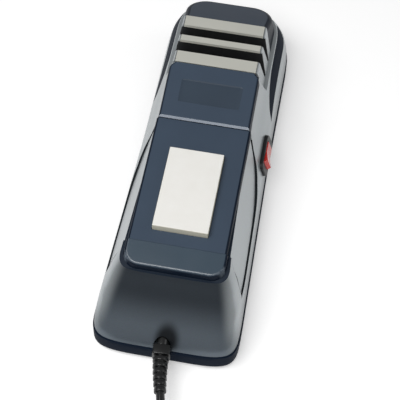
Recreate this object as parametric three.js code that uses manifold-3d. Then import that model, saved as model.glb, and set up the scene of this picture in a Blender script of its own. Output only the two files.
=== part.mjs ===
// Electric knife sharpener: a long low body with a ceramic whetstone on top, two knife slots at the rear,
// a motor under the raised head, two sprung abrasive discs on its shaft, and a cord at the front.
// Millimetres, +Z up, +X to the switch side, +Y from the cord end to the knife slots.
import * as THREE from 'three';
import { mergeVertices } from 'three/addons/utils/BufferGeometryUtils.js';
import Module from 'manifold-3d';

const wasm = await Module();
wasm.setup();

// Overall body
const bodyLength = 335;
const bodyWidth = 114;
const footHeight = 2;
const partingHeight = 18;
const skinTop = 88;
const rearTaperShare = 0.945;
const taperEndReach = 149.5;
const seam = 0.3;
const overrun = 6;

// Moulded walls
const housingWall = 2.5;
const baseWall = 2.6;
const baseFloor = 2.5;
const baseEdge = 3;
const baseProud = 0.8;

// Nose and rear rounding
const noseDepth = 36.5;
const nosePower = 5.5;
const rearDepth = 50;
const rearPower = 3.4;
const noseRun = 58;
const rearRun = 27;

// Seat line of the blue top pieces: an inset is told from the nose end, a reach from the tail end
const capFrontInset = 42.5;
const capSeamInset = 61.2;
const headSeamReach = 161;
const guideStartReach = 110.5;
const rearCoverReach = 16.5;
const capFrontSeat = 59.6;
const capSeamSeat = 64.9;
const headSeamSeat = 71.2;
const headRearSeat = 80.4;
const guideSeat = 56;

// Front cap, stone holder and head cover
const capSideInset = 17.6;
const holderSideInset = 18.4;
const headSideInset = 19.4;
const capThickness = 5.9;
const holderThickness = 5.6;
const headThickness = 7.2;
const rearCoverSideInset = 17.4;
const rearCoverThickness = 28;
const rearCoverEdge = 10;
const edgeRound = 1.6;
const coverRoof = 2.4;
const coverWall = 2.6;
const sideSlopeShare = 0.17;
const capCorner = 11;
const headCorner = 4;
const plateRecessDepth = 0.6;
const plateRecessWidth = 50;
const plateRecessLength = 23;
const plateRecessCorner = 3;
const plateRecessBack = 22.5;

// Ceramic plate
const stoneWidth = 43;
const stoneProud = 5.4;
const stoneSunk = 3;
const stoneLead = 11.3;
const stoneTrail = 29.5;
const stoneCorner = 0.8;
const stoneClearance = 0.4;

// Sharpening head: guides and slots
const guideTop = 88;
const guideTopInset = 22.4;
const guideFootInset = 17;
const guideShoulder = 2.4;
const insertInset = 23.8;
const railHeight = 2;
const liningThickness = 1.2;
const liningDrop = 3;
const frontGuideDepth = 12;
const slotOneMouth = 11.7;
const middleGuideDepth = 5.8;
const slotTwoMouth = 10.9;
const rearGuideDepth = 10.6;
const slotLean = 10;
const discProud = 0.5;
const discPocket = 2;
const pocketDepth = 6;

// Shaft, discs and springs
const shaftHeight = 42;
const shaftRadius = 4;
const shaftClearance = 0.3;
const discRadius = 24;
const ringInner = 15;
const ringThickness = 1.2;
const discPlate = 2;
const hubRadius = 5.5;
const hubLength = 5.5;
const discTravel = 1.5;
const springLength = 8.2;
const springRadius = 7;
const springWire = 0.8;
const springTurns = 4;
const collarLength = 2.6;
const collarRadius = 9;
const clipRadius = 7;
const clipThickness = 0.7;
const drivePinRadius = 1;
const drivePinReach = 5.2;
const hubSlot = 3.4;

// Grinding chamber
const chamberHalfWidth = 35;
const chamberWall = 2;
const chamberLead = 0.5;
const chamberTail = 10;

// Motor
const motorBack = 24.5;
const stackLength = 24;
const stackHalfWidth = 28;
const stackHalfHeight = 29.5;
const boreRadius = 17.2;
const rotorRadius = 16.6;
const poleHalfWidth = 12.1;
const windowWidth = 7.3;
const windowHalfHeight = 25;
const bracketThickness = 2;
const bracketGap = 0.8;
const bracketHalfWidth = 9;
const postRadius = 2.2;
const bossWall = 2.2;
const bushRadius = 6.3;
const bushLength = 6;
const boltRadius = 1.2;
const boltHeadRadius = 2.4;
const boltHead = 1.6;
const fanRadius = 21;
const fanHub = 8;
const fanLength = 7;
const fanDisc = 1.4;
const fanBlades = 8;
const fanBlade = 1.6;
const fanGap = 1.4;
const mountRib = 2.5;
const mountSpread = 8;

// Switch
const switchBack = 42.8;
const switchHeight = 37.5;
const switchInset = 6.4;
const switchTilt = 18;
const bezelLength = 35.4;
const bezelWidth = 15.5;
const bezelProud = 2.3;
const bezelSunk = 1;
const bezelPad = 4;
const bezelCorner = 5;
const rockerLength = 22;
const rockerWidth = 10.8;
const rockerGap = 0.4;
const rockerPivot = 1;
const rockerCrown = 3.9;
const rockerRest = 6.5;
const rockerDepth = 6;
const switchBodyDepth = 17;
const switchBodyWall = 1.1;
const rockerWell = 9;

// Side inlays
const inlayDepth = 1.4;
const inlayClearance = 0.3;

// Feet and screws
const footRadius = 7;
const footSunk = 1.2;
const footFrontInset = 24.5;
const footRearReach = 29.5;
const footSideInset = 23;
const bossRadius = 4.2;
const screwRadius = 1.5;
const screwHeadRadius = 3;
const screwHeadHeight = 2.2;
const screwLength = 20;
const screwSunk = 6;
const screwClearance = 0.4;
const bossFrontInset = 39.5;
const bossFrontSide = 30;
const bossRearReach = 45.5;
const bossRearSide = 16;
const ventCount = 7;
const ventLength = 30;
const ventWidth = 2.6;
const ventPitch = 6.4;
const ventBack = 67;

// Cord end
const cordDiameter = 6.6;
const cordHeight = 22;
const reliefRadius = 6.3;
const reliefTip = 4.7;
const reliefLength = 52;
const reliefFlange = 8.3;
const reliefFlangeLength = 2;
const reliefNeck = 5.2;
const reliefInside = 9;
const reliefInsideRadius = 4.6;
const reliefBend = 14;
const reliefCollar = 9;
const ribCount = 7;
const ribGapShare = 0.36;
const ribDepth = 1.1;
const ribSides = 16;
const scoopRadius = 7.6;
const scoopInset = 15.5;
const terminalInset = 40;
const terminalLength = 14;
const terminalWidth = 30;
const terminalHeight = 14;
const terminalHoles = 3;
const terminalHoleRadius = 2;

// Coil of spare cord
const coilRadius = 47;
const coilPitch = 7.2;
const coilLift = 1.1;
const coilTurns = 5.25;
const coilSteps = 24;
const coilSides = 6;
const coilStartX = 14;
const coilAhead = 100.5;
const tieWidth = 10;
const tieThickness = 0.7;
const tieGap = 0.35;
const tieSideGap = 0.8;
const tieTurnShare = 0.62;
const leadSides = 8;

// Plug
const plugFace = 35.3;
const plugThickness = 13.7;
const plugLength = 36;
const plugCorner = 4;
const plugAside = 69.3;
const plugAhead = 153.3;
const pinRadius = 2;
const pinLength = 19;
const pinSpacing = 19;

const halfLength = bodyLength / 2;
const halfWidth = bodyWidth / 2;
const capHalfWidth = halfWidth - capSideInset;
const holderHalfWidth = halfWidth - holderSideInset;
const headHalfWidth = halfWidth - headSideInset;
const rearCoverHalfWidth = halfWidth - rearCoverSideInset;
const guideTopHalfWidth = halfWidth - guideTopInset;
const guideFootHalfWidth = halfWidth - guideFootInset;
const insertHalfWidth = halfWidth - insertInset;
const taperStart = noseDepth - halfLength;
const taperEnd = halfLength - taperEndReach;
const capFront = capFrontInset - halfLength;
const capSeam = capSeamInset - halfLength;
const headSeam = halfLength - headSeamReach;
const guideStart = halfLength - guideStartReach;
const rearCoverEnd = halfLength - rearCoverReach;
const plateRecessPlace = guideStart - plateRecessBack;
const stoneFront = capSeam + stoneLead;
const stoneLength = headSeam - stoneTrail - stoneFront;
const slotOneFront = guideStart + frontGuideDepth;
const slotOneRear = slotOneFront + slotOneMouth;
const slotTwoFront = slotOneRear + middleGuideDepth;
const slotTwoRear = slotTwoFront + slotTwoMouth;
const rearGuideEnd = slotTwoRear + rearGuideDepth;
const chamberFront = slotOneFront - chamberLead;
const chamberRear = rearGuideEnd + chamberTail;
const motorCentre = guideStart - motorBack;
const switchPlace = guideStart - switchBack;
const ventPlace = guideStart - ventBack;
const scoopEnd = scoopInset - halfLength;
const terminalPlace = scoopEnd + terminalInset;
const coilCentreY = -halfLength - coilAhead;
const skinHeight = skinTop - partingHeight;
const cordRadius = cordDiameter / 2;
const fullTurn = 2 * Math.PI;

// Shares of the skin's height paired with shares of its half width, nose run and rear run
const flankShares = [[0, 1], [0.07, 0.996], [0.16, 0.98], [0.22, 0.962], [0.29, 0.944], [0.37, 0.903],
  [0.46, 0.856], [0.54, 0.806], [0.6, 0.773], [0.69, 0.735], [0.8, 0.703], [0.89, 0.685], [1, 0.66]];
const noseShares = [[0, 0], [0.06, 0.03], [0.14, 0.11], [0.25, 0.25], [0.4, 0.45], [0.5, 0.57], [0.6, 0.69],
  [0.8, 0.88], [1, 1]];
const rearShares = [[0, 0], [0.15, 0.04], [0.35, 0.17], [0.5, 0.36], [0.6, 0.53], [0.8, 0.8], [1, 1]];
const cornerShares = [0, 0.24, 0.38, 0.46, 0.52, 0.6, 0.74, 1];
const noseCurveShare = 0.65;
const rearCurveShare = 0.35;
// The flat wing facet: its lean, and its outline as shares of half length and skin height
const wingShares = [[0.1, 1.006], [1.1, 0.522]];
const wingOutlineShares = [[-0.724, 0.254], [-0.567, 0.237], [-0.322, 0.25], [-0.227, 0.269], [-0.191, 0.297],
  [-0.149, 0.35], [-0.09, 0.443], [-0.066, 0.497], [-0.018, 0.629], [0.039, 0.786], [0.039, 1.1],
  [-0.66, 1.1],
  [-0.627, 0.657], [-0.657, 0.557], [-0.675, 0.457], [-0.71, 0.34]];
// The inlay's outline from its front tip, as shares of half length and skin height
const inlayShares = [[0.298, 0.264], [0.358, 0.294], [0.418, 0.314], [0.49, 0.326], [0.6, 0.333],
  [0.716, 0.333], [0.836, 0.337], [0.86, 0.429], [0.84, 0.514], [0.7, 0.521], [0.6, 0.52], [0.537, 0.517],
  [0.49, 0.503], [0.43, 0.477], [0.382, 0.437], [0.334, 0.369]];
const plugShares = [[0, 1, 1], [0.38, 1, 1], [0.62, 0.62, 0.95], [0.86, 0.4, 0.84], [1, 0.32, 0.74]];

function valueAt(shares, t) {
  const last = shares[shares.length - 1];
  if (t <= shares[0][0]) return shares[0][1];
  for (let i = 1; i < shares.length; i += 1) {
    const [from, low] = shares[i - 1];
    const [to, high] = shares[i];
    if (t <= to) return low + (high - low) * (t - from) / (to - from);
  }
  return last[1];
}

// Closed meshes as solids, to cut and join them
function solidOf(geometry) {
  const bare = geometry.clone();
  bare.deleteAttribute('normal');
  bare.deleteAttribute('uv');
  const merged = mergeVertices(bare, seam / 1000);
  const vertProperties = new Float32Array(merged.attributes.position.array);
  const triVerts = new Uint32Array(merged.index.array);
  return new wasm.Manifold(new wasm.Mesh({ numProp: 3, vertProperties, triVerts }));
}

function geometryOf(body) {
  const mesh = body.getMesh();
  const geometry = new THREE.BufferGeometry();
  geometry.setAttribute('position', new THREE.BufferAttribute(new Float32Array(mesh.vertProperties), 3));
  geometry.setIndex(new THREE.BufferAttribute(new Uint32Array(mesh.triVerts), 1));
  geometry.computeVertexNormals();
  return geometry;
}

function join(...geometries) {
  return geometries.map(solidOf).reduce((whole, piece) => whole.add(piece));
}

function cut(body, ...geometries) {
  return geometries.reduce((rest, tool) => rest.subtract(solidOf(tool)), body);
}

// A closed skin over rings of the same number of points, from the lowest ring to the highest
function skinOver(rings) {
  const count = rings[0].length;
  const points = rings.flat();
  const faces = [];
  for (let r = 0; r + 1 < rings.length; r += 1) {
    for (let i = 0; i < count; i += 1) {
      const a = r * count + i;
      const b = r * count + (i + 1) % count;
      faces.push(a, b, b + count, a, b + count, a + count);
    }
  }
  for (const [start, up] of [[0, false], [(rings.length - 1) * count, true]]) {
    const flat = points.slice(start, start + count).map((p) => new THREE.Vector2(p.x, p.y));
    for (const [a, b, c] of THREE.ShapeUtils.triangulateShape(flat, [])) {
      faces.push(...(up ? [start + a, start + b, start + c] : [start + c, start + b, start + a]));
    }
  }
  const geometry = new THREE.BufferGeometry().setFromPoints(points);
  geometry.setIndex(faces);
  return geometry;
}

function box(fromX, toX, fromY, toY, fromZ, toZ) {
  const geometry = new THREE.BoxGeometry(toX - fromX, toY - fromY, toZ - fromZ);
  return geometry.translate((fromX + toX) / 2, (fromY + toY) / 2, (fromZ + toZ) / 2);
}

// A cylinder standing upright
function post(radius, x, y, fromZ, toZ, sides = 16) {
  const geometry = new THREE.CylinderGeometry(radius, radius, toZ - fromZ, sides);
  return geometry.rotateX(Math.PI / 2).translate(x, y, (fromZ + toZ) / 2);
}

// A cylinder lying along the body
function rod(radius, x, z, fromY, toY, sides = 24) {
  const geometry = new THREE.CylinderGeometry(radius, radius, toY - fromY, sides);
  return geometry.translate(x, (fromY + toY) / 2, z);
}

// A ring about a line along the body
function sleeve(outer, inner, x, z, fromY, toY, sides = 32) {
  const profile = [[inner, fromY], [outer, fromY], [outer, toY], [inner, toY], [inner, fromY]];
  const points = profile.map(([radius, y]) => new THREE.Vector2(radius, y));
  return new THREE.LatheGeometry(points, sides).translate(x, 0, z);
}

// A prism across the body from a side outline of [place, height] pairs
function acrossBody(outline, reach) {
  const shape = new THREE.Shape(outline.map(([y, z]) => new THREE.Vector2(y, z)));
  const geometry = new THREE.ExtrudeGeometry(shape, { depth: 2 * reach, bevelEnabled: false });
  const turn = new THREE.Matrix4().makeBasis(
    new THREE.Vector3(0, 1, 0), new THREE.Vector3(0, 0, 1), new THREE.Vector3(1, 0, 0));
  return geometry.translate(0, 0, -reach).applyMatrix4(turn);
}

// A prism along the body from an upright cross-section drawn as a shape
function alongBody(shape, fromY, toY, curveSegments = 6) {
  const options = { depth: toY - fromY, bevelEnabled: false, curveSegments };
  return new THREE.ExtrudeGeometry(shape, options).rotateX(Math.PI / 2).translate(0, toY, 0);
}

function roundedRectangle(width, height, corner) {
  const shape = new THREE.Shape();
  const x = width / 2;
  const y = height / 2;
  shape.moveTo(corner - x, -y);
  shape.lineTo(x - corner, -y);
  shape.absarc(x - corner, corner - y, corner, -Math.PI / 2, 0);
  shape.lineTo(x, y - corner);
  shape.absarc(x - corner, y - corner, corner, 0, Math.PI / 2);
  shape.lineTo(corner - x, y);
  shape.absarc(corner - x, y - corner, corner, Math.PI / 2, Math.PI);
  shape.lineTo(-x, corner - y);
  shape.absarc(corner - x, corner - y, corner, Math.PI, 1.5 * Math.PI);
  return shape;
}

function taperAt(y) {
  const t = THREE.MathUtils.clamp((y - taperStart) / (taperEnd - taperStart), 0, 1);
  return 1 + (rearTaperShare - 1) * t;
}

// One level outline of the body: superellipse nose and rear, straight tapering flanks
function bodyRing(z, width, front, rear, noseCurve, rearCurve) {
  const right = [];
  for (const share of cornerShares) {
    const turn = share * Math.PI / 2;
    const r = (Math.sin(turn) ** nosePower + Math.cos(turn) ** nosePower) ** (-1 / nosePower);
    right.push([width * r * Math.sin(turn), front + noseCurve - noseCurve * r * Math.cos(turn)]);
  }
  right.push([width, taperEnd]);
  for (const share of [...cornerShares].reverse()) {
    const turn = share * Math.PI / 2;
    const r = (Math.sin(turn) ** rearPower + Math.cos(turn) ** rearPower) ** (-1 / rearPower);
    right.push([width * r * Math.sin(turn), rear - rearCurve + rearCurve * r * Math.cos(turn)]);
  }
  const left = right.slice(1, -1).reverse().map(([x, y]) => [-x, y]);
  return [...right, ...left].map(([x, y]) => new THREE.Vector3(x * taperAt(y), y, z));
}

// The housing's skin, moved inwards by inset, between two heights
function bodySkin(inset, fromZ, toZ) {
  const levels = flankShares.map(([share]) => partingHeight + share * skinHeight);
  const heights = [fromZ, ...levels.filter((z) => z > fromZ + seam && z < toZ - seam), toZ];
  return solidOf(skinOver(heights.map((z) => {
    const t = (z + inset - partingHeight) / skinHeight;
    const width = (halfWidth - baseProud) * valueAt(flankShares, t) - inset;
    const front = baseProud - halfLength + noseRun * valueAt(noseShares, t) + inset;
    const rear = halfLength - baseProud - rearRun * valueAt(rearShares, t) - inset;
    const rise = THREE.MathUtils.clamp(t, 0, 1);
    return bodyRing(z, width, front, rear, noseDepth * (1 - noseCurveShare * rise),
      rearDepth * (1 - rearCurveShare * rise));
  })));
}

// The line that the blue pieces, the guides and the rear cover sit on
const seatPlaces = [[capFront, capFrontSeat], [capSeam, capSeamSeat], [headSeam, headSeamSeat],
  [guideStart, headRearSeat]];

function seatAt(y) {
  return valueAt(seatPlaces, y);
}

// The plan outline of a cap with rounded front and rear corners, anticlockwise from the front left
function capPlan(width, front, rear, frontCorner, rearCorner, steps = 5) {
  const points = [];
  const corners = [[frontCorner - width, front + frontCorner, frontCorner, Math.PI],
    [width - frontCorner, front + frontCorner, frontCorner, 1.5 * Math.PI],
    [width - rearCorner, rear - rearCorner, rearCorner, 0],
    [rearCorner - width, rear - rearCorner, rearCorner, Math.PI / 2]];
  for (const [x, y, corner, start] of corners) {
    const count = corner > 0 ? steps : 0;
    for (let i = 0; i <= count; i += 1) {
      const turn = start + (count ? i / count : 0) * Math.PI / 2;
      points.push([x + corner * Math.cos(turn), y + corner * Math.sin(turn)]);
    }
  }
  return points;
}

// Each point of a plan outline moved inwards; straight ends named in keep stay where they are
function drawnIn(plan, distanceAt, keep) {
  return plan.map(([x, y], i) => {
    const before = plan[(i + plan.length - 1) % plan.length];
    const after = plan[(i + 1) % plan.length];
    const into = new THREE.Vector2(x - before[0], y - before[1]).normalize();
    const out = new THREE.Vector2(after[0] - x, after[1] - y).normalize();
    const inward = new THREE.Vector2(-into.y - out.y, into.x + out.x).normalize();
    const reach = distanceAt(y) / Math.max(inward.dot(new THREE.Vector2(-into.y, into.x)), 0.5);
    const kept = keep.some((end) => Math.abs(end - y) < seam / 10);
    return [x + inward.x * reach, kept ? y : y + inward.y * reach];
  });
}

// A cap on its seat: sloping sides, a rounded upper edge, and square ends where it meets its neighbours
function topCap(plan, bottomAt, thicknessAt, keep) {
  const steps = [[0, 0], [1, 1], [0.35, 0.45], [0, 0]];
  const rings = steps.map(([drop], level) => {
    const inset = (y) => (level === 0 ? 0
      : sideSlopeShare * (thicknessAt(y) - drop * edgeRound) + edgeRound * [0, 0, 0.3, 1][level]);
    const flat = level === 0 ? plan : drawnIn(plan, inset, keep);
    return flat.map(([x, y]) => new THREE.Vector3(x, y, bottomAt(y)
      + (level === 0 ? seam : thicknessAt(y) - drop * edgeRound)));
  });
  return skinOver(rings);
}

// A tube of a given radius along points, its section turned about each point's own direction
function sweptTube(points, radius, sides) {
  const rings = points.map((p, i) => {
    const before = points[Math.max(i - 1, 0)];
    const after = points[Math.min(i + 1, points.length - 1)];
    const along = after.clone().sub(before).normalize();
    const across = new THREE.Vector3(0, 0, 1).cross(along).normalize();
    const up = along.clone().cross(across);
    const ring = [];
    for (let s = 0; s < sides; s += 1) {
      const turn = (s / sides) * fullTurn;
      ring.push(p.clone().addScaledVector(across, radius * Math.cos(turn))
        .addScaledVector(up, radius * Math.sin(turn)));
    }
    return ring;
  });
  const count = rings.length;
  const positions = rings.flat();
  const faces = [];
  for (let r = 0; r + 1 < count; r += 1) {
    for (let s = 0; s < sides; s += 1) {
      const a = r * sides + s;
      const b = r * sides + (s + 1) % sides;
      faces.push(a, b, b + sides, a, b + sides, a + sides);
    }
  }
  for (let s = 1; s + 1 < sides; s += 1) {
    const last = (count - 1) * sides;
    faces.push(0, s + 1, s, last, last + s, last + s + 1);
  }
  const geometry = new THREE.BufferGeometry().setFromPoints(positions);
  geometry.setIndex(faces);
  return geometry;
}

// The room under a hollow cap: its plan drawn in by the wall, up to its roof
function underCap(plan, bottomAt, thicknessAt) {
  const walls = (level) => drawnIn(plan, (y) => coverWall + level * sideSlopeShare * thicknessAt(y), []);
  return skinOver([0, 1].map((level) => walls(level).map(([x, y]) => new THREE.Vector3(x, y,
    bottomAt(y) + (level ? thicknessAt(y) - coverRoof : -overrun)))));
}

const finish = {
  silver: { color: 0xcdd2d4, roughness: 0.34, metalness: 0.55 },
  navy: { color: 0x1b2230, roughness: 0.45, metalness: 0 },
  blue: { color: 0x414f5f, roughness: 0.42, metalness: 0.1 },
  ceramic: { color: 0xf5f4ef, roughness: 0.6, metalness: 0 },
  guide: { color: 0xb9b9b0, roughness: 0.35, metalness: 0.4 },
  black: { color: 0x141416, roughness: 0.5, metalness: 0 },
  red: { color: 0xc8302a, roughness: 0.35, metalness: 0 },
  steel: { color: 0x9a9da0, roughness: 0.35, metalness: 1 },
  iron: { color: 0x5c5f63, roughness: 0.55, metalness: 0.8 },
  copper: { color: 0xb0642e, roughness: 0.4, metalness: 0.9 },
  bronze: { color: 0xa5814a, roughness: 0.4, metalness: 0.9 },
  grit: { color: 0x6d5a50, roughness: 0.9, metalness: 0 },
  rubber: { color: 0x1d1d1f, roughness: 0.85, metalness: 0 },
};

const sharpener = new THREE.Group();

function addPiece(name, form, look, parent = sharpener) {
  const geometry = form.isBufferGeometry ? form : geometryOf(form);
  const mesh = new THREE.Mesh(geometry, new THREE.MeshStandardMaterial(finish[look]));
  mesh.name = name;
  parent.add(mesh);
  return mesh;
}

// Places shared by the shaft, discs and chamber
const ringOneFront = slotOneRear - discProud;
const ringTwoFront = slotTwoRear - discProud;
const screwPlaces = [[bossFrontSide, bossFrontInset - halfLength], [bossRearSide, halfLength - bossRearReach]]
  .flatMap(([inset, y]) => [[inset - halfWidth, y], [halfWidth - inset, y]]);
const footPlaces = [[-1, footFrontInset - halfLength], [1, footFrontInset - halfLength],
  [-1, halfLength - footRearReach], [1, halfLength - footRearReach]].map(
  ([side, y]) => [side * (halfWidth - footSideInset), y]);
const floorTop = footHeight + baseFloor;
const stackBottom = shaftHeight - stackHalfHeight;

// The switch's pieces share a frame on the flank: its first direction points out of the flank
const switchGroup = new THREE.Group();
switchGroup.position.set(halfWidth - switchInset, switchPlace, switchHeight);
switchGroup.rotation.y = -THREE.MathUtils.degToRad(switchTilt);
switchGroup.updateMatrixWorld();
sharpener.add(switchGroup);

function onSwitch(geometry) {
  return geometry.clone().applyMatrix4(switchGroup.matrixWorld);
}

// A plate of the switch: a rounded outline in the flank's plane, between two depths
function switchPlate(length, width, corner, inner, outer) {
  const options = { depth: outer - inner, bevelEnabled: false, curveSegments: 5 };
  const geometry = new THREE.ExtrudeGeometry(roundedRectangle(length, width, corner), options);
  const turn = new THREE.Matrix4().makeBasis(
    new THREE.Vector3(0, 1, 0), new THREE.Vector3(0, 0, 1), new THREE.Vector3(1, 0, 0));
  return geometry.applyMatrix4(turn).translate(inner, 0, 0);
}

function baseLevels(inset) {
  return [[footHeight, baseEdge * (1 - Math.SQRT1_2) + baseEdge * Math.SQRT1_2],
    [footHeight + baseEdge * (1 - Math.SQRT1_2), baseEdge * (1 - Math.SQRT1_2)],
    [footHeight + baseEdge, 0], [partingHeight - seam / 2, 0]].map(([z, drawn]) => bodyRing(
    z, halfWidth - drawn - inset, drawn + inset - halfLength, halfLength - drawn - inset,
    noseDepth, rearDepth));
}

function addBaseTray() {
  const outer = skinOver(baseLevels(0));
  const inner = skinOver([floorTop, partingHeight + overrun].map((z) => bodyRing(
    z, halfWidth - baseWall, baseWall - halfLength, halfLength - baseWall, noseDepth, rearDepth)));
  let tray = cut(solidOf(outer), inner);
  const ribs = [motorCentre - mountSpread, motorCentre + mountSpread].map((y) => box(
    -stackHalfWidth, stackHalfWidth, y - mountRib / 2, y + mountRib / 2, footHeight + baseFloor / 2,
    stackBottom - seam));
  const pillars = screwPlaces.map(([x, y]) => post(bossRadius, x, y, footHeight + baseFloor / 2,
    partingHeight - seam / 2));
  tray = tray.add(join(...ribs)).add(join(...pillars));
  const holes = screwPlaces.flatMap(([x, y]) => [
    post(screwRadius + screwClearance, x, y, footHeight - overrun, partingHeight + overrun),
    post(screwHeadRadius + screwClearance, x, y, footHeight - overrun, footHeight + screwSunk)]);
  const recesses = footPlaces.map(([x, y]) => post(footRadius + seam, x, y, footHeight - overrun,
    footHeight + footSunk + seam));
  const vents = Array.from({ length: ventCount }, (_, i) => {
    const y = ventPlace + (i - (ventCount - 1) / 2) * ventPitch;
    return box(-ventLength / 2, ventLength / 2, y - ventWidth / 2, y + ventWidth / 2, footHeight - overrun,
      floorTop + overrun);
  });
  const reliefNotch = rod(reliefRadius + 2 * seam, 0, cordHeight, -halfLength - overrun, scoopEnd);
  addPiece('base_tray', cut(tray, ...holes, ...recesses, ...vents, reliefNotch), 'navy');
}

function addHousing() {
  const bottom = partingHeight + seam / 2;
  const outer = bodySkin(0, bottom, skinTop);
  const inner = bodySkin(housingWall, bottom - overrun, skinTop + overrun);
  const bosses = join(...screwPlaces.map(([x, y]) => post(bossRadius, x, y, bottom, skinTop)));
  const scoopWall = solidOf(rod(scoopRadius + housingWall, 0, cordHeight, -halfLength,
    scoopEnd + housingWall));
  const pad = solidOf(onSwitch(box(-bezelPad, overrun, -bezelLength / 2 - housingWall,
    bezelLength / 2 + housingWall, -bezelWidth / 2 - housingWall, bezelWidth / 2 + housingWall)));
  let shell = outer.subtract(inner).add(bosses.add(scoopWall).add(pad).intersect(outer));
  // The wing facets
  const reach = bodyWidth;
  for (const side of [-1, 1]) {
    const profile = [taperStart - noseDepth, taperStart, taperEnd, halfLength].map((y) => {
      const [low, high] = wingShares;
      const at = ([t, share]) => new THREE.Vector3(
        side * share * (halfWidth - baseProud) * taperAt(y), y, partingHeight + t * skinHeight);
      const far = (p) => new THREE.Vector3(side * reach, p.y, p.z);
      const ring = [at(low), far(at(low)), far(at(high)), at(high)];
      return side > 0 ? ring.reverse() : ring;
    });
    const outline = wingOutlineShares.map(([y, t]) => [y * halfLength, partingHeight + t * skinHeight]);
    const slab = stationSkin(profile);
    shell = shell.subtract(solidOf(slab).intersect(solidOf(acrossBody(outline, reach))));
  }
  shell = shell.subtract(inlayRoom());
  const seat = [[-halfLength - overrun, capFrontSeat], ...seatPlaces,
    [guideStart + leanAt(headRearSeat), headRearSeat], [guideStart + leanAt(guideSeat), guideSeat],
    [halfLength + overrun, guideSeat], [halfLength + overrun, skinTop + overrun],
    [-halfLength - overrun, skinTop + overrun]];
  const scoop = rod(scoopRadius, 0, cordHeight, -halfLength - overrun, scoopEnd);
  const reliefHole = rod(reliefNeck + seam, 0, cordHeight, scoopEnd - overrun, scoopEnd + overrun);
  const bezelSeat = onSwitch(switchPlate(bezelLength + 2 * seam, bezelWidth + 2 * seam, bezelCorner + seam,
    -bezelSunk - seam, overrun));
  const bodyCut = onSwitch(box(-bezelPad - overrun, overrun, -rockerLength / 2 - 3 * switchBodyWall,
    rockerLength / 2 + 3 * switchBodyWall, -rockerWidth / 2 - 2 * switchBodyWall,
    rockerWidth / 2 + 2 * switchBodyWall));
  const pilots = screwPlaces.map(([x, y]) => post(screwRadius + seam / 2, x, y, bottom - overrun,
    footHeight + screwSunk + screwLength + seam));
  addPiece('upper_housing', cut(shell, acrossBody(seat, reach), scoop, reliefHole, bezelSeat, bodyCut,
    ...pilots), 'silver');
}

// A closed skin over upright rings that follow the body from front to rear
function stationSkin(rings) {
  const flat = rings.map((ring) => ring.map((p) => new THREE.Vector3(p.x, p.z, p.y)));
  const geometry = skinOver(flat.map((ring) => [...ring].reverse()));
  const position = geometry.attributes.position;
  for (let i = 0; i < position.count; i += 1) {
    position.setXYZ(i, position.getX(i), position.getZ(i), position.getY(i));
  }
  geometry.setIndex([...geometry.index.array].reverse());
  return geometry;
}

function inlayPrism(grow) {
  const outline = inlayShares.map(([y, t]) => [y * halfLength, partingHeight + t * skinHeight]);
  return solidOf(acrossBody(drawnIn(outline, () => -grow, []), bodyWidth));
}

function inlayRoom() {
  const beyond = bodySkin(-overrun, partingHeight, skinTop).subtract(
    bodySkin(inlayDepth + inlayClearance, partingHeight - overrun, skinTop + overrun));
  return beyond.intersect(inlayPrism(inlayClearance));
}

function addInlays() {
  const strip = bodySkin(0, partingHeight, skinTop).subtract(
    bodySkin(inlayDepth, partingHeight - overrun, skinTop + overrun)).intersect(inlayPrism(0));
  const half = (side) => solidOf(box(Math.min(0, side * bodyWidth), Math.max(0, side * bodyWidth),
    -bodyLength, bodyLength, 0, skinTop));
  addPiece('side_inlay_left', strip.intersect(half(-1)), 'navy');
  addPiece('side_inlay_right', strip.intersect(half(1)), 'navy');
}

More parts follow.
